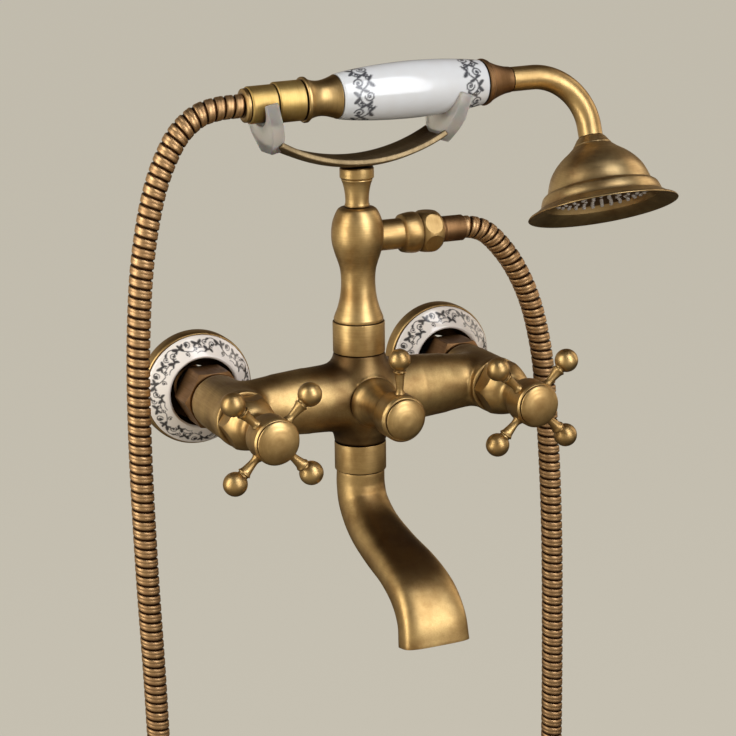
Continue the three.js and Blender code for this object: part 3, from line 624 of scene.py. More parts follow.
# painted light: a lighter copy of the turned brass for the sleeve and the handset's hose nut, for the bright light
# they catch
brassPaintedLight = antiqueBrass("antiqueBrassPaintedLight", "#d3b674", "#aa8748", (1, 0, 0), 0.46, 0)
brassDark = antiqueBrass("antiqueBrassDark", "#9a7650", "#63462c", (1, 0, 0), 0.45)
brassAged = antiqueBrass("antiqueBrassAged", "#a08c6a", "#6f5f45", (1, 0, 0), 0.48)
ringPorcelain = glazedPorcelain("glazedPorcelainRing", "#e6ddd4", "#17151a")
gripPorcelain = glazedPorcelain("glazedPorcelainGrip", "#d9dbdd", "#34353c")
hoseMetal = hoseStrip()
acetal = frostedAcetal()
insideFinish = {
    "steel": mottled("turnedStainlessSteel", "#c2c4c5", "#a3a6a8", 1, 0.3, 900),
    "rubber": mottled("mouldedRubber", "#2a2825", "#1c1a18", 0, 0.75, 1500),
    "ceramic": mottled("cartridgeBody", "#dcd9d0", "#c6c2b8", 0, 0.35, 700),
    "dark_brass": brassDark,
    "brass": brassOut,
    "porcelain": ringPorcelain,
    "clear_plastic": acetal,
    "hose_metal": hoseMetal,
}
hose.data.materials.append(hoseMetal)
for node, piece in frame["nodes"].items():
    for materialSlot in piece.material_slots:
        materialSlot.material = insideFinish[slotOfNode[node]]
print("materials made")


# Printed scrolls: how dark each vertex is, from its distance to the drawn lines on the unrolled surface.

# Strokes are (along, across, along, across, bulge, width), widest in the middle when they are leaves.
# Curls are (along, across, radius, turns, width). All in mm on the unrolled band.
ringScroll = {
    "band": 8.2,
    "repeats": 7,
    "strokes": [
        (0, -2.4, 6.5, 1.9, -1.4, 0.6), (6.5, 1.9, 13, -2.2, 1.5, 0.6), (13, -2.2, 22.8, -2.4, 2.6, 0.6),
        (6.8, 1.6, 3.3, 3.5, 1.1, 1.8), (6.4, 1.9, 4.1, -0.1, -0.7, 1.5), (6.2, 1.8, 9.1, 3.6, -0.9, 2.1),
        (6.2, 2, 8.6, 0.2, 0.8, 1.4), (5.6, 1.4, 5.9, 4.1, 0.5, 1.4), (13.2, -2, 10.4, -3.9, -0.9, 1.7),
        (12.8, -2.1, 15.5, -3.9, 0.7, 1.5), (12.6, -2.5, 15.6, -0.3, -1, 2.2), (13.2, -2.6, 11.8, 0, 0.6, 1.3),
        (19.4, 1.2, 16.8, 3.4, 1, 1.9), (18.6, 1.3, 21.6, 3.2, -0.9, 1.9), (18.8, 1.8, 21.4, -0.4, 0.7, 1.5),
        (19, 1.8, 17, -0.5, -0.6, 1.3), (18.2, -1.2, 19, 1.6, 0.4, 0.6), (12.2, 3.9, 14, 2.6, 0.5, 1.3),
        (1, 3.2, 2.2, 0.8, 0.6, 1.3), (9.1, 3.6, 12.2, 3.9, 0.8, 0.5), (15.5, -3.9, 20.5, -4, 1.2, 0.5)],
    "curls": [(10.6, 0.6, 1.9, 1.5, 0.6), (1.4, 2.2, 1.9, -1.5, 0.6), (14.6, 2, 1.5, 1.4, 0.55),
              (3.4, -2.9, 1.4, -1.4, 0.55), (20.6, -1.6, 1.3, 1.3, 0.5)],
}

gripScroll = {
    "band": 13,
    "repeats": 5,
    "strokes": [
        (0, -1, 8.3, 1, 5.4, 1.0), (8.3, 1, 16.6, -1, -5.4, 1.0), (4.2, 3.2, 1.2, 5.9, 1, 2.4),
        (4.2, 3.2, 7.3, 6, -1, 2.2), (12.4, -3.2, 9.6, -5.9, -1, 2.4), (12.4, -3.2, 15.4, -6, 1, 2.2),
        (8.3, 1, 6.4, -2.4, 0.8, 1.9), (8.3, 1, 10.4, 4, 0.8, 1.9), (0, -1, 1.6, -4.4, 0.8, 1.8),
        (16.6, -1, 15.2, 2.4, 0.6, 1.8)],
    "curls": [(3.6, -2.4, 2.7, 1.5, 0.95), (13, 2.6, 2.7, -1.5, 0.95), (9.2, -2.2, 1.5, -1.2, 0.8),
              (7.2, 3.2, 1.3, 1.2, 0.8)],
}


inkSettings = {
    "leafFrom": 1.1,  # wider strokes are leaves, with a point at either end
    "tip": 0.15,
    "solid": 0.3,  # shares of a stroke's width: solid ink, and the soft edge round it
    "soft": 0.35,
    "darkest": 0.95,
}


# Points of ink along the strokes and curls of one repeat, each with its width.
def scrollMotif(settings):
    points = []
    leafFrom, tip = pick(inkSettings, "leafFrom", "tip")
    for fromAlong, fromAcross, toAlong, toAcross, bulge, width in settings["strokes"]:
        start, end = Vector((fromAlong, fromAcross)), Vector((toAlong, toAcross))
        middle = (start + end) / 2 + (end - start).orthogonal().normalized() * bulge
        for k in range(25):
            t = k / 24
            spot = start * (1 - t) ** 2 + middle * 2 * t * (1 - t) + end * t ** 2
            leaf = tip + (1 - tip) * (4 * t * (1 - t)) ** 0.6 if width > leafFrom else 1
            points.append((spot.x, spot.y, width * leaf))
    for along, across, radius, turns, width in settings["curls"]:
        for k in range(50):
            angle = 2 * pi * turns * k / 49 - pi / 2
            reach = radius * (1 - k / 49) ** 0.8
            points.append((along + reach * cos(angle), across + reach * sin(angle), width))
        points.append((along, across, width * 2))
    return points


# unroll(vertex) gives (along, across) in mm, or None off the band.
def printScrolls(piece, unroll, around, settings):
    length = around / settings["repeats"]
    motif = scrollMotif(settings)
    solid, soft, darkest = pick(inkSettings, "solid", "soft", "darkest")
    tree = kdtree.KDTree(3 * len(motif))
    widths = []
    for shift in (-1, 0, 1):
        for along, across, width in motif:
            tree.insert((along + shift * length, across, 0), len(widths))
            widths.append(width)
    tree.balance()
    ink = []
    for vertex in piece.data.vertices:
        spot = unroll(vertex.co / mm)
        dark = 0
        if spot and abs(spot[1]) < settings["band"] * 0.6:
            for _, index, distance in tree.find_n((spot[0] % length, spot[1], 0), 5):
                dark = max(dark, 1 - max(0, distance - widths[index] * solid) / (widths[index] * soft))
        ink.append(min(max(dark, 0), 1) * darkest)
    paint(piece, "ink", ink)


# Wall connection, made once and copied to the other side

wallSettings = {
    "tailLength": 14,
    "tailRadius": 10.3,
    "threadPitch": 1.814,
    "threadDepth": 0.8,
    "cupRadius": 32,
    "cupThickness": 8,
    "ringRadius": 30.6,
    "ringHole": 19.2,
    "printRadius": 25.9,
    "printStretch": 1.2,
    "nutBack": 16,
    "nutFront": 36,
    "nutFlats": 30,
}


def wallUnion(settings):
    tail, crest, pitch = pick(settings, "tailLength", "tailRadius", "threadPitch")
    root = crest - settings["threadDepth"]
    outline = [(6.5, -tail), (root, -tail)]
    height = -tail + 1.2
    while height < 3:
        outline += [(root, height), (crest, height + 0.5 * pitch)]
        height += pitch
    outline += [(9.4, height), (10.3, 5), (11.4, 6), (11.4, 13), (13, 14), (13, 30), (6.5, 30)]
    return turnRing("wallUnion", outline, 0.15)


def escutcheonCup(settings):
    cup, thick, hole, ring = pick(settings, "cupRadius", "cupThickness", "ringHole", "ringRadius")
    return turnRing("escutcheonCup", [
        (11.9, 0), (cup - 0.4, 0), (cup, 0.4), (cup, 4.6), (cup - 0.15, 6.2), (cup - 0.5, 7.4), (cup - 0.9, thick),
        (cup - 1.2, thick), (ring - 0.8, thick), (hole + 0.2, 15.4), (hole - 0.9, 14.6), (hole - 0.9, 1.8),
        (11.9, 1.8)], 0.3, 96)


def porcelainRing(settings):
    ring, hole, seat = settings["ringRadius"], settings["ringHole"], settings["cupThickness"] + 0.3
    face = through([
        (ring, seat + 0.7), (ring - 0.5, seat + 1.7), (ring - 2.2, seat + 3.2), (25.6, seat + 5.7),
        (22.6, seat + 8.1), (20.9, seat + 9.2), (20.1, seat + 9.3), (hole + 0.1, seat + 8.6)], 9)
    return turnRing("porcelainRing", [(ring - 0.6, seat), *face, (hole, seat + 7.8)], 0.2, 360)


def unionNut(settings):
    back, front, flats = pick(settings, "nutBack", "nutFront", "nutFlats")
    drum = turnRing("unionNut", [
        (13.3, back), (14.8, back), (17.3, back + 1.8), (17.4, front - 2), (15, front), (10.9, front), (10.9, 34),
        (13.3, 34)], 0.4)
    return combine(drum, hexBar(flats, back - 1, front + 1, 0.7), "INTERSECT")


def wallSets(settings):
    union, cup, ring, nut = [stand(make(settings), out)
                             for make in (wallUnion, escutcheonCup, porcelainRing, unionNut)]
    smooth(nut, 26)
    middle, stretch = pick(settings, "printRadius", "printStretch")
    printScrolls(ring, lambda p: (atan2(p.z, p.x) * middle, (hypot(p.x, p.z) - middle) * stretch),
                 2 * pi * middle, ringScroll)
    settlePair(union, "wall_union_{}", brassDark)
    settlePair(cup, "escutcheon_cup_{}", brassOut)
    settlePair(ring, "porcelain_ring_{}", ringPorcelain)
    settlePair(nut, "union_nut_{}", brassDark)


wallSets(wallSettings)
print("wall connections made")


# Cast body: turned solids joined, then remeshed so that the joints between them run into each other

castSettings = {
    "armRadius": 18.6,
    "ringRadius": 14.2,
    "top": 24,
    "bottom": -26,
    "barrelRadius": 15.5,
    "barrelBack": 31.8,
    "barrelFront": 79,
    "bossFront": 77.5,
    "voxel": 0.75,
    "relax": 110,  # rounds of smoothing where the castings run together
    "patinaAndShade": 0.85,
    "patinaAndShadeEnd": 38,  # how far along the arms it reaches
    "patinaAndShadeFade": 23,
}


def mixerBody(settings):
    arm, ring, top, bottom = pick(settings, "armRadius", "ringRadius", "top", "bottom")
    half = through([(arm, 0), (arm, 12), (arm - 0.2, 25), (17.2, 42), (16, 57), (14.8, 67), (13.8, 73),
                    (12.4, 80), (9, 86)], 3)
    cross = [(0, -88), *[(p.x, -p.y) for p in reversed(half)], *half[1:], (0, 88)]
    body = stand(turnPiece("crossArm", cross, 0.3, 72), right, bodyPlace)
    lower = through([(ring, bottom), (14.6, bottom + 3), (16, -18.5), (18, -12), (arm + 0.2, 0)], 3)
    upper = through([(arm + 0.2, 0), (18, 12), (16, 17.5), (14.5, top - 2.5), (ring, top)], 3)
    upright = stand(turnPiece("upright", [(0, bottom), *lower, *upper[1:], (0, top)], 0.3), up, bodyPlace)
    front = settings["bossFront"]
    boss = stand(turnPiece("boss", [
        (0, -bodyY), (15.5, -bodyY), (15.5, 73), (14.4, 76), (13.9, front), (0, front)], 0.6), out)
    body = combine(combine(body, upright, "UNION"), boss, "UNION")
    barrel, back, front = pick(settings, "barrelRadius", "barrelBack", "barrelFront")
    outline = [(0, back), (10.7, back), (10.7, 36.2), (barrel - 2, 36.3), (barrel - 0.6, 38.5), (barrel, 46),
               (barrel, front), (0, front)]
    for x in handleX.values():
        body = combine(body, stand(turnPiece("barrel", outline, 0.5), out, (x, 0, 0)), "UNION")
    remesh = body.modifiers.new("cast", "REMESH")
    remesh.mode = "VOXEL"
    remesh.voxel_size = settings["voxel"] * mm
    relax = body.modifiers.new("relax", "SMOOTH")
    relax.factor = 0.5
    relax.iterations = 6
    applyModifiers(body)
    edit(body, "DESELECT")
    leaveEdit()
    for vertex in body.data.vertices:
        x, y, z = vertex.co / mm
        root = 9 < abs(x) < 32 and bottom + 3.5 < z < top - 3
        collar = abs(x) < 20 and -76 < y < -66 and abs(z) < 20
        elbow = abs(x) > 50 and -74 < y < -42
        vertex.select = root or collar or elbow
    bpy.ops.object.mode_set(mode="EDIT")
    bpy.ops.mesh.vertices_smooth(factor=0.5, repeat=settings["relax"])
    leaveEdit()
    smooth(body, 60)
    # painted shade with patina: strongest on the column and the roots of the arms, most of all on the left, none on
    # the boss's end
    patinaAndShade = []
    for vertex in body.data.vertices:
        x, y, z = vertex.co / mm
        root = min(max((settings["patinaAndShadeEnd"] - abs(x + 3)) / settings["patinaAndShadeFade"], 0), 1)
        front = min(max((y + 80) / 8, 0), 1)
        patinaAndShade.append(settings["patinaAndShade"] * root * root * (3 - 2 * root) * front)
    paint(body, "patinaAndShade", patinaAndShade)
    print("body", len(body.data.polygons), "faces")
    settle(body, "mixer_body", brassCast)


mixerBody(castSettings)
print("body made")


# Valve bonnets and cross handles

handleSettings = {
    "bonnetFlats": 26.6,
    "hubBack": 108,
    "hubFront": 124.5,
    "hubRadius": 12.3,
    "hubFloor": 120.3,
    "capRadius": 11.3,
    "spokeDepth": 117.4,
    "ballCentre": 29.5,
    "ballRadius": 6.35,
    "spokes": 4,
}


# The hexagon cuts leaf shaped facets out of the turned dome.
def valveBonnet(settings):
    flank = through([(15.8, 79.8), (15.8, 82), (15.1, 86), (13.5, 90), (10.8, 94), (8.4, 96.2), (7.5, 98)])
    dome = turnRing("valveBonnet", [(4.7, 79.4), (15.4, 79.4), *flank, (7.5, 104.2), (4.7, 104.2)], 0.3, 72)
    bonnet = combine(dome, hexBar(settings["bonnetFlats"], 70, 110), "INTERSECT")
    smooth(bonnet, 24)
    return stand(bonnet, out)


def handleHub(settings):
    back, front, radius, floor = pick(settings, "hubBack", "hubFront", "hubRadius", "hubFloor")
    shoulder = through([(8.6, back), (10.4, back + 0.5), (11.7, back + 1.8), (radius, back + 4.4)])
    return stand(turnRing("handleHub", [
        (3.8, back), *shoulder, (radius, front - 1.2), (radius - 0.8, front), (9.8, front), (9.8, floor),
        (3.8, floor)], 0.4, 72), out)


# A spoke that flares to its ball, from the handle's axis outwards along +Z.
def ballSpoke(hubRadius, centre, radius, root=2.1):
    bead = centre - radius - 0.4
    flare = through([(root, hubRadius + 3), (root + 0.2, hubRadius + 5), (root + 0.75, bead - 2),
                     (root + 1.2, bead - 0.9), (root + 1.5, bead - 0.4)], 3)
    first = -acos(3.0 / radius)
    angles = [first + (pi / 2 - first) * k / 14 for k in range(14)]
    ball = [(radius * cos(a), centre + radius * sin(a)) for a in angles]
    return turnPiece("ballSpoke", [
        (0, hubRadius - 3.6), (1.8, hubRadius - 3.6), (1.8, hubRadius - 0.4), (root + 0.9, hubRadius - 0.2),
        (root + 0.2, hubRadius + 1), (root, hubRadius + 2.2), *flare, (root + 1.5, bead + 0.1),
        (root + 0.8, bead + 0.3), *ball, (0, centre + radius)], 0.25, 36)


def domedCap(radius, plugRadius, plugBack, seat, rise=3.3):
    dome = through([(radius, seat + 0.7), (radius * 0.97, seat + 1.2), (radius * 0.84, seat + 1.95),
                    (radius * 0.6, seat + 2.7), (radius * 0.3, seat + rise - 0.1), (0, seat + rise)])
    return stand(turnPiece("domedCap", [
        (0, plugBack), (plugRadius, plugBack), (plugRadius, seat), (radius - 0.3, seat), *dome], 0.25, 72), out)


def crossHandles(settings):
    front, floor = settings["hubFront"], settings["hubFloor"]
    bonnet = valveBonnet(settings)
    hub = handleHub(settings)
    cap = domedCap(settings["capRadius"], 9.3, floor + 1.9, front + 0.35)
    spoke = ballSpoke(settings["hubRadius"], settings["ballCentre"], settings["ballRadius"])
    made = [(bonnet, "valve_bonnet_{}"), (hub, "handle_hub_{}"), (cap, "handle_cap_{}")]
    for i in range(settings["spokes"]):
        angle = radians(45 + 360 / settings["spokes"] * i)
        turned = stand(copyOf(spoke, "spoke"), (cos(angle), 0, sin(angle)), (0, -settings["spokeDepth"], 0))
        made.append((turned, "handle_spoke_{}_" + str(i + 1)))
    discard(spoke)
    for piece, node in made:
        settlePair(piece, node, brassOut)


crossHandles(handleSettings)
print("cross handles made")


# Diverter with its lever

diverterSettings = {
    "face": 77.5,
    "back": 100.5,
    "front": 116,
    "radius": 12.6,
    "leverDepth": 110,
    "ballCentre": 30.9,
    "ballRadius": 5.8,
}


def diverter(settings):
    face, back, front, radius = pick(settings, "face", "back", "front", "radius")
    flank = through([(13.8, face + 1.4), (13.2, face + 3.8), (11.4, face + 7.3), (10, face + 12),
                     (9.3, face + 17), (9.2, face + 20)])
    bonnet = turnRing("diverterBonnet", [(4.7, face + 0.3), (13.6, face + 0.3), *flank, (4.7, face + 20)], 0.3)
    shoulder = through([(9.4, back), (11, back + 0.5), (12.1, back + 1.8), (radius, back + 4.4)])
    hub = turnRing("diverterHub", [
        (3.8, back), *shoulder, (radius, front - 1.6), (radius - 1, front), (8.9, front), (8.9, front - 3),
        (3.8, front - 3)], 0.4)
    cap = domedCap(10.9, 8.4, front - 2.4, front + 0.35, 3.4)
    lever = stand(ballSpoke(radius, settings["ballCentre"], settings["ballRadius"], 1.9), up,
                  (0, -settings["leverDepth"], 0))
    settle(stand(bonnet, out), "diverter_bonnet", brassOut)
    settle(stand(hub, out), "diverter_hub", brassOut)
    settle(cap, "diverter_cap", brassOut)
    settle(lever, "diverter_lever", brassUpright)


diverter(diverterSettings)
print("diverter made")


# Riser, hose outlet and finial

riserSettings = {
    "foot": 41.5,
    "top": 103.5,
    "outletHeight": 86.8,
    "nutStart": 35.1,
    "nutEnd": 47.5,
    "nutFlats": 21.6,
    "nutBar": (30, 50),  # the hexagon bar that the nut is cut from
    "ferruleEnd": 62.5,
    "ferruleRadius": 7.1,
    "cradleFoot": 125.2,
}


def couplingRing(node, bottom, top):
    ring = castSettings["ringRadius"]
    coupling = turnRing(node, [(10.4, bottom), (ring, bottom), (ring, top), (10.4, top)], 0.4, 96)
    settle(stand(coupling, up, bodyPlace), node, brassUpright)


def riserVase(settings):
    foot, top = settings["foot"], settings["top"]
    couplingRing("riser_coupling", castSettings["top"] + 0.3, foot - 0.3)
    flank = through([
        (13.5, foot + 1.6), (12.8, foot + 3.6), (11.5, 48.5), (9.9, 55), (9.25, 62.5), (9.6, 69), (10.7, 73.5),
        (12.4, 78.5), (13.8, 83.8), (14.2, 89), (13.7, 94.5), (12.3, 99), (10.6, 102.2), (9.2, top - 0.2)])
    vase = stand(turnPiece("riserVase", [
        (0, foot), (13.4, foot), (13.5, foot + 0.8), *flank, (8.4, top), (0, top)], 0.25, 96), up, bodyPlace)
    outlet = turnPiece("hoseOutlet", [
        (0, 6), (8.3, 6), (8.3, 24.6), (9.3, 25.2), (10.3, 25.9), (10.8, 28), (11.2, 31), (11.2, 33.4), (10.9, 34.7),
        (8, 34.8), (8, 43), (0, 43)], 0.3)
    vase = combine(vase, stand(outlet, right, (0, bodyY, settings["outletHeight"])), "UNION")
    smooth(vase, 30)
    settle(vase, "riser_vase", brassUpright)


def hoseOutlet(settings):
    place = (0, bodyY, settings["outletHeight"])
    start, end, collar, far = pick(settings, "nutStart", "nutEnd", "ferruleRadius", "ferruleEnd")
    barrel = through([(9.9, start), (11.5, start + 2.6), (12.1, (start + end) / 2), (11.5, end - 2.6),
                      (9.9, end)], 5)
    drum = turnRing("hoseNut", [
        (8.3, start), *barrel, (7.4, end), (7.4, end - 1.7), (8.3, end - 1.7)], 0.35, 96)
    nut = combine(drum, hexBar(settings["nutFlats"], *settings["nutBar"], 0.5), "INTERSECT")
    smooth(nut, 26)
    settle(stand(nut, right, place), "hose_nut_outlet", brassAlong)
    ferrule = turnRing("hoseFerrule", [
        (4.6, 43.5), (7.9, 43.5), (7.9, 45.3), (collar, 45.4), (collar, 49.5), (collar - 0.25, 50), (collar, 50.5),
        (collar, far), (4.6, far)], 0.3)
    settle(stand(ferrule, right, place), "hose_ferrule_outlet", brassDark)


def finialNeck(settings):
    top, seat = settings["top"], settings["cradleFoot"]
    neck = through([(6.4, top + 2.2), (6.35, 108), (6.7, 112), (7.5, 115.8), (8.4, 118.2)])
    finial = turnPiece("finialNeck", [
        (0, top - 5), (3, top - 5), (3, top + 0.3), (6.7, top + 0.3), (6.7, top + 1.4), *neck, (8.2, 118.7),
        (8.7, 119), (9.2, 119.6), (9.2, seat - 0.9), (8.7, seat), (0, seat)], 0.3)
    settle(stand(finial, up, bodyPlace), "finial_neck", brassUpright)


riserVase(riserSettings)
hoseOutlet(riserSettings)
finialNeck(riserSettings)
print("riser made")


# Cradle and its forks

cradleSettings = {
    "foot": 125.5,
    "curve": 100,
    "halfSpan": 49.5,
    "width": 24,
    "thickness": 2.2,
    "edge": 0.45,  # share of the half width where the raised edge starts
    "forkGap": 28.6,
    "forkTop": 27.5,
    "forkWidth": 7,
    "forkPlace": (48, 136.6),
    "forks": {"left": (-1, 14.6, 13), "right": (1, 13.3, 21)},  # side, height of the saddle, lean in degrees
}


# A flat grid bent round the curve, with raised edges, then given its thickness.
def cradleStrip(settings):
    curve, foot, edge, thick = pick(settings, "curve", "foot", "edge", "thickness")
    reach = asin(settings["halfSpan"] / curve)
    deselect()
    bpy.ops.mesh.primitive_grid_add(x_subdivisions=72, y_subdivisions=16, size=2)
    strip = newest("cradle")
    for vertex in strip.data.vertices:
        angle, y = vertex.co.x * reach, vertex.co.y
        radius = curve - thick - 1 - 2 * max(0, abs(y) - edge) / (1 - edge)
        vertex.co = Vector((radius * sin(angle), bodyY + y * settings["width"] / 2,
                            foot + curve - radius * cos(angle))) * mm
    addWall(strip, thick + 0.9)
    addRim(strip, 0.8, 50)
    applyModifiers(strip)
    edit(strip)
    closeMesh()
    smooth(strip, 40)
    settle(strip, "handset_cradle", brassAged)


# A fork is a thick plate cut to an outline and bevelled.
def cradleFork(side, settings):
    sign, floor, lean = settings["forks"][side]
    gap, top, width, (reach, height) = pick(settings, "forkGap", "forkTop", "forkWidth", "forkPlace")
    arm = gap / 2
    outer = arm + 2.8
    centre = floor + arm
    first = asin((top - 0.6 - centre) / arm)
    angles = [first - (pi + 2 * first) * k / 24 for k in range(25)]
    outline = [(-7, 0), (7, 0), (9.6, 2.4), (outer - 2.4, 8.6), (outer, 14), (outer, top - 1), (outer - 1, top),
               *[(arm * cos(a), centre + arm * sin(a)) for a in angles],
               (1 - outer, top), (-outer, top - 1), (-outer, 14), (2.4 - outer, 8.6), (-9.6, 2.4)]
    deselect()
    bpy.ops.mesh.primitive_circle_add(vertices=len(outline), radius=1, fill_type="NGON")
    fork = newest("fork")
    for vertex, (y, z) in zip(fork.data.vertices, outline):
        vertex.co = Vector((-width / 2, y, z)) * mm
    edit(fork)
    bpy.ops.mesh.extrude_region_move(TRANSFORM_OT_translate={"value": (width * mm, 0, 0)})
    closeMesh()
    addRim(fork, 0.7, 60)
    applyModifiers(fork)
    smooth(fork, 40)
    fork.rotation_euler = (0, sign * radians(lean), 0)
    fork.location = Vector((sign * reach, bodyY, height)) * mm
    applyPlace(fork)
    settle(fork, "cradle_fork_" + side, acetal)


cradleStrip(cradleSettings)
for forkSide in ("left", "right"):
    cradleFork(forkSide, cradleSettings)
print("cradle made")


# Spout

spoutSettings = {
    "top": -42.3,
    "line": [(0, -42.3), (0, -52), (4, -62), (17, -71.5), (38, -78), (60, -82.5), (77, -89.5), (87, -100),
             (90, -112.5)],
    "halfWidths": [13.2, 13.2, 13.4, 14.2, 15.4, 16.6, 17.6, 18.2, 18.8],
    "halfDepths": [13.2, 13.1, 12.8, 12, 11, 10.2, 9.8, 9.4, 9.2],
    "wall": 2,
    "mouthSquare": 0.55,  # exponent that squares the round section off towards the mouth
}


def between(values, t):
    last = len(values) - 1
    at = min(int(t * last), last - 1)
    return values[at] + (values[at + 1] - values[at]) * (t * last - at)


def spoutTube(settings):
    line = through([(0, bodyY - forward, z) for forward, z in settings["line"]], 6)

    def section(t, turn):
        square = 1 + (settings["mouthSquare"] - 1) * t
        return [copysign(abs(part) ** square, part) * between(settings[half], t)
                for part, half in ((cos(turn), "halfWidths"), (sin(turn), "halfDepths"))]

    tube = tubeAlong("spoutTube", line, section, 64)
    edit(tube, "DESELECT")
    leaveEdit()
    topEdge = settings["top"] * mm
    for edge in tube.data.edges:
        ends = [tube.data.vertices[i].co.z for i in edge.vertices]
        edge.select = all(abs(z - topEdge) < 0.05 * mm for z in ends)
    bpy.ops.object.mode_set(mode="EDIT")
    bpy.ops.mesh.select_mode(type="EDGE")
    # the top turns inwards in two flat rings, as far as the water way
    for shrink in (0.94, 0.52):
        bpy.ops.mesh.extrude_region_move()
        bpy.ops.transform.resize(value=(shrink, shrink, 1), center_override=(0, bodyY * mm, topEdge))
    bpy.ops.mesh.select_mode(type="VERT")
    closeMesh()
    addWall(tube, settings["wall"])
    addRim(tube, 0.5, 45)
    applyModifiers(tube)
    smooth(tube, 40)
    settle(tube, "spout", brassSpout)


spoutTube(spoutSettings)
couplingRing("spout_coupling", spoutSettings["top"] + 0.3, castSettings["bottom"] - 0.3)
print("spout made")


# Handset: everything is modelled on its own axis, tilted with it and set at its height

handsetSettings = {
    "height": 163.2,
    "tilt": 1.64,
    "tail": -64.3,
    "headLean": 22.9,
    "neckBend": 92.9,
    "bendRadius": 29,
    "neckStart": 92.3,
    "neckStraight": 13.5,
    "neckTail": 6.1,
    "neckRadius": 6.7,
    "bellHeight": 41.6,
    "bellRadius": 41.6,
    "printRadius": 13.2,
    "printEnds": (-0.5, 63.5),  # middle of each band of scrolls along the grip
    "nozzleRings": {5: 6, 10: 12, 15.2: 18, 20.4: 24, 25: 30},  # radius of the ring and how many tips it has
    "nozzleRise": 0.014,  # the spray face is slightly domed
}


# From a piece's own axis along +X to its place: the head leans, and the whole handset is tilted and lifted.
def handsetPlace(settings, lean=0):
    tilt = Matrix.Rotation(-radians(settings["tilt"]), 4, "Y")
    return Matrix.Translation(Vector((0, bodyY, settings["height"])) * mm) @ tilt @ Matrix.Rotation(-lean, 4, "X")


def placeBy(piece, matrix):
    piece.matrix_world = matrix
    applyPlace(piece)


# A band of scrolls round each end of the grip.
def printGrip(piece, settings):
    radius, ends = settings["printRadius"], settings["printEnds"]

    def unroll(p):
        for end, way in zip(ends, (1, -1)):
            if abs(p.x - end) < 9 and hypot(p.y, p.z) > 11:
                return atan2(p.y, p.z) * radius, (p.x - end) * way
        return None

    printScrolls(piece, unroll, 2 * pi * radius, gripScroll)


def handsetBar(settings):
    tail = settings["tail"]
    rear = through([(11.3, -28.6), (10.1, -26.4), (9.3, -22.5), (9.6, -18.4), (10.7, -14.4), (11.7, -11.9)])
    grip = through([(12.1, -10.2), (13.3, -2), (14.5, 11), (15.15, 26), (15.15, 37), (14.5, 52), (13.3, 65),
                    (12.2, 73)], 16)
    cone = through([(11.9, 77.4), (11, 78.6), (9, 83), (7.5, 88), (7, 91.6)], 5)
    outlines = {
        "hose_ferrule_handset": ([
            (4.6, tail), (7.4, tail), (8.8, tail + 0.7), (8.9, -61.9), (7.1, -61.8), (7.1, -59.4), (4.6, -59.4)],
            0.3, brassAlong),
        "handset_hose_nut": ([
            (7.5, -61.4), (9.2, -61.4), (9.7, -60.7), (9.7, -47.4), (9.3, -46.9), (6.6, -46.9), (6.6, -59),
            (7.5, -59)], 0.35, brassPaintedLight),
        "handset_sleeve": ([
            (6.2, -58.6), (6.2, -46.6), (10.2, -46.6), (10.7, -46), (10.7, -32.1), (10.3, -31.5), (4.8, -31.5),
            (4.8, -58.6)], 0.35, brassPaintedLight),
        "handset_rear_ferrule": ([
            (6, -31.1), (11.5, -31.1), (12, -30.5), (12, -29.3), *rear, (11.6, -11.7), (6, -11.7)], 0.3, brassAlong),
        "porcelain_handle": ([
            (6, -11.2), (11.5, -11.2), *grip, (11.6, 73.9), (6, 73.9)], 0.5, gripPorcelain),
        "handset_front_cone": ([
            (6, 74.4), (12.4, 74.4), (12.7, 75), (12.6, 76), (12.1, 76.4), (12.1, 77), *cone, (5.9, 92)],
            0.25, brassDark),
    }
    for node, (outline, fillet, material) in outlines.items():
        printed = node == "porcelain_handle"
        piece = stand(turnRing(node, outline, fillet, 240 if printed else 72), right)
        if printed:
            printGrip(piece, settings)
        placeBy(piece, handsetPlace(settings))
        settle(piece, node, material)


handsetBar(handsetSettings)
print("handset bar made")


# Bent neck, bell and spray face

def neckLine(settings):
    bend = radians(settings["neckBend"])
    start, straight, radius, tail = pick(settings, "neckStart", "neckStraight", "bendRadius", "neckTail")
    line = [Vector((start + straight * k / 4, 0, 0)) for k in range(4)]
    for k in range(33):
        angle = bend * k / 32
        line.append(Vector((start + straight + radius * sin(angle), 0, -radius * (1 - cos(angle)))))
    ahead = Vector((cos(bend), 0, -sin(bend)))
    corner = line[-1]
    return line + [corner + ahead * tail * k / 3 for k in (1, 2, 3)], bend


def bentNeck(line, settings):
    radius = settings["neckRadius"]
    neck = tubeAlong("neck", line, lambda t, turn: (radius * cos(turn), radius * sin(turn)), 48, (0, 1, 0))
    addWall(neck, 1.5)
    applyModifiers(neck)
    smooth(neck, 40)
    return neck


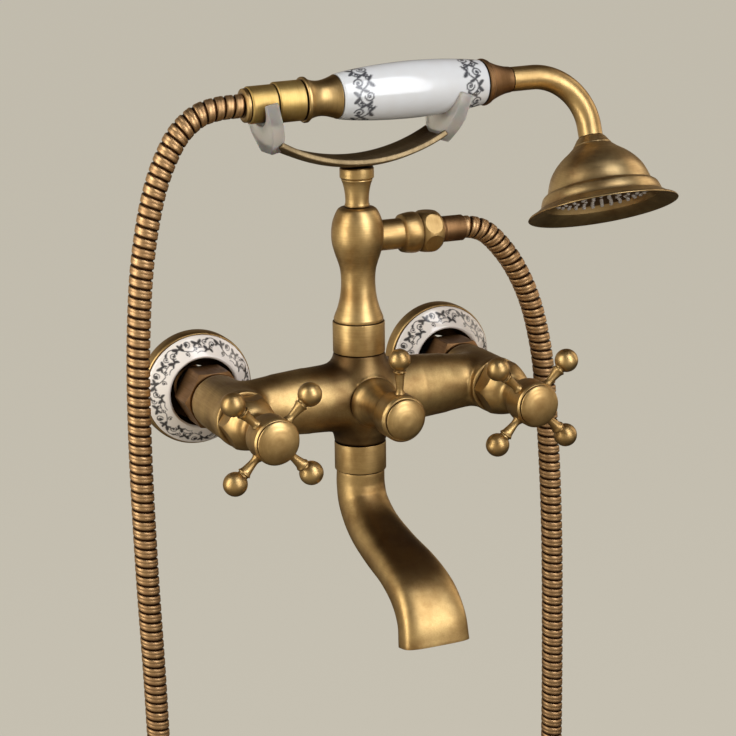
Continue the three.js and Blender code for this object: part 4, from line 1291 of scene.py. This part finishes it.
# Turned down -Z from the end of the neck.
def showerBell(settings):
    height, edge = settings["bellHeight"], settings["bellRadius"]
    shoulder = through([(10.6, 5.2), (11.6, 6.2), (14.2, 8.4), (18, 11.2), (21.8, 14.8), (25, 19), (26.9, 23),
                        (28.3, 27.2), (28.9, 28.8)])
    skirt = through([(30.7, 30), (31.8, 31), (32.8, 33.2), (33.5, 35.4), (34.1, 36.6)])
    flare = through([(35.2, 37.1), (36.4, 38), (38.6, 39.2), (40.6, 40.1), (edge - 0.3, 40.8)], 3)
    outside = [(6.9, 0.35), (7.3, 0.5), (8.3, 1.6), (9.9, 4.1), (10.4, 4.6), *shoulder, (29.2, 29.4), (30.2, 29.6),
               *skirt, (34.6, 36.8), *flare, (edge, height - 0.3), (edge - 0.2, height)]
    inside = [(40.2, height), (37.6, 40.4), (33.6, 38.4), (31.4, 36.6), (29.9, 33.6), (27, 29), (22.4, 18.6),
              (12.8, 10.4), (5.3, 4), (5.3, 0.35)]
    return turnRing("bell", [(r, -h) for r, h in outside + inside], 0.3, 96)


def sprayNozzles(settings):
    nozzle = turnPiece("nozzle", [(0, -34), (1.15, -34), (1.0, -35.4), (0.75, -35.7), (0.4, -35.6), (0.4, -35.2),
                                  (0, -35.2)], 0.15, 10)
    nozzles = []
    for ringRadius, count in settings["nozzleRings"].items():
        for k in range(count):
            angle = 2 * pi * k / count
            tip = copyOf(nozzle, "nozzle")
            tip.location = Vector((ringRadius * cos(angle), ringRadius * sin(angle),
                                   ringRadius * settings["nozzleRise"])) * mm
            nozzles.append(tip)
    discard(nozzle)
    pickOnly(nozzles[0])
    for tip in nozzles:
        tip.select_set(True)
    bpy.ops.object.join()
    tips = newest("spray_nozzles")
    applyPlace(tips)
    return tips


def showerHead(settings):
    line, bend = neckLine(settings)
    leaning = handsetPlace(settings, radians(settings["headLean"]))
    neck = bentNeck(line, settings)
    placeBy(neck, leaning)
    settle(neck, "handset_neck", brassAlong)
    bell = showerBell(settings)
    face = turnPiece("sprayFace", [(0, -31.8), (28, -31.8), (28.5, -32.8), (27, -33.8), (19, -34.6), (0, -34.8)],
                     0.3, 96)
    tips = sprayNozzles(settings)
    hanging = leaning @ Matrix.Translation(line[-1] * mm) @ Matrix.Rotation(bend - pi / 2, 4, "Y")
    for piece in (bell, face, tips):
        placeBy(piece, hanging)
    settle(bell, "shower_bell", brassBellPaintedLight)
    settle(face, "spray_face", brassDark)
    clothe(tips, siliconeTips)
    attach(tips, "handset")


# Soft silicone nozzles: moulded, pale grey and matt.
siliconeTips = mottled("siliconeNozzles", "#cbc5be", "#9d958c", 0, 0.5, 1200)
showerHead(handsetSettings)
print("shower head made")


# Stage: a pale floor, two tall softboxes and a weak fill

stageSettings = {
    "floorDrop": 30,
    "floorSize": 80,  # metres
    "pale": "#cbc5b6",
    "shadowShare": 0.12,
    "farColour": "#c9bfad",
    "farGlow": 0.9,
    "nearGlow": 0.05,
    "darkest": (1.1, 0.9, 0),
    "darkTo": 1.3,  # metres round the darkest place
    "paleFrom": 3.0,
    "worldColour": "#c2b8a7",
    "overhead": "#2c2119",
    "overheadFrom": (0.34, 0.62),
    "behind": "#5c4c39",
    "darkWay": (0.75, 0.66, 0),
    "behindFrom": (0.3, 0.85),
    "behindShare": 0.85,
    "worldStrength": 0.85,
}

# azimuth and elevation in degrees, distance, width and height in metres, watts, colour
softboxes = {
    "leftSoftbox": (-86, 16, 1.5, 0.8, 1.8, 21, "#fbfbf6"),
    "frontSoftbox": (18, 32, 1.7, 0.75, 2.2, 28, "#f6f9ff"),
    "rightFill": (92, 20, 1.8, 0.9, 1.6, 7, "#fff2e2"),
}


def makeFloor(settings):
    low = cadBox[0][2] - settings["floorDrop"] * mm
    deselect()
    bpy.ops.mesh.primitive_plane_add(size=settings["floorSize"], location=(0, 0, low))
    floor = newest("floor")
    material, shader = newMaterial("palePlasterFloor", Roughness=0.9, Base_Color=linear(settings["pale"]))
    glow = addNode(material, "ShaderNodeEmission", {"Color": linear(settings["pale"]), "Strength": 1.0})
    direct = addNode(material, "ShaderNodeMixShader", {0: settings["shadowShare"]},
                     {1: glow.outputs[0], 2: shader.outputs[0]})
    # what the metal reflects of it is dark below and behind, and pale far off in front
    place = addNode(material, "ShaderNodeTexCoord").outputs["Object"]
    away = addNode(material, "ShaderNodeVectorMath", {1: settings["darkest"]}, {0: place}, operation="DISTANCE")
    darkTo, paleFrom, nearGlow, farGlow = pick(settings, "darkTo", "paleFrom", "nearGlow", "farGlow")
    paleShare = addNode(material, "ShaderNodeMapRange", {1: darkTo, 2: paleFrom, 3: nearGlow, 4: farGlow},
                        {"Value": away.outputs["Value"]})
    dim = addNode(material, "ShaderNodeEmission", {"Color": linear(settings["farColour"])},
                  {"Strength": paleShare.outputs[0]})
    ray = addNode(material, "ShaderNodeLightPath")
    seen = addNode(material, "ShaderNodeMixShader", {}, {0: ray.outputs["Is Camera Ray"], 1: dim.outputs[0],
                                                         2: direct.outputs[0]})
    surface = material.node_tree.nodes["Material Output"].inputs["Surface"]
    material.node_tree.links.new(seen.outputs[0], surface)
    floor.data.materials.append(material)


def makeWorld(settings):
    world = bpy.data.worlds.new("studio")
    scene.world = world
    world.use_nodes = True
    # pale round the horizon, dark overhead and towards the wall
    way = addNode(world, "ShaderNodeTexCoord").outputs["Generated"]
    parts = addNode(world, "ShaderNodeSeparateXYZ", {}, {0: way})
    low, high = settings["overheadFrom"]
    overhead = addNode(world, "ShaderNodeMapRange", {1: low, 2: high, 3: 0.0, 4: 1.0},
                       {"Value": parts.outputs["Z"]}, interpolation_type="SMOOTHSTEP")
    sky = addNode(world, "ShaderNodeMix", {"A": linear(settings["worldColour"]), "B": linear(settings["overhead"])},
                  {"Factor": overhead.outputs[0]}, data_type="RGBA")
    towards = addNode(world, "ShaderNodeVectorMath", {1: settings["darkWay"]}, {0: way}, operation="DOT_PRODUCT")
    start, end = settings["behindFrom"]
    behind = addNode(world, "ShaderNodeMapRange", {1: start, 2: end, 3: 0.0, 4: settings["behindShare"]},
                     {"Value": towards.outputs["Value"]}, interpolation_type="SMOOTHSTEP")
    shaded = addNode(world, "ShaderNodeMix", {"B": linear(settings["behind"])},
                     {"Factor": behind.outputs[0], "A": sky.outputs[2]}, data_type="RGBA")
    background = world.node_tree.nodes["Background"]
    world.node_tree.links.new(shaded.outputs[2], background.inputs["Color"])
    background.inputs["Strength"].default_value = settings["worldStrength"]


def softbox(name, azimuth, elevation, distance, width, height, watts, colour):
    data = bpy.data.lights.new(name, "AREA")
    data.shape = "RECTANGLE"
    data.size = width
    data.size_y = height
    data.energy = watts
    data.color = linear(colour)[:3]
    light = bpy.data.objects.new(name, data)
    scene.collection.objects.link(light)
    a, e = radians(azimuth), radians(elevation)
    offset = Vector((sin(a) * cos(e), -cos(a) * cos(e), sin(e))) * distance
    light.location = Vector((0, bodyY * mm, 0.03)) + offset
    light.rotation_euler = offset.to_track_quat("Z", "Y").to_euler()


makeFloor(stageSettings)
makeWorld(stageSettings)
for boxName, box in softboxes.items():
    softbox(boxName, *box)
print("stage made")
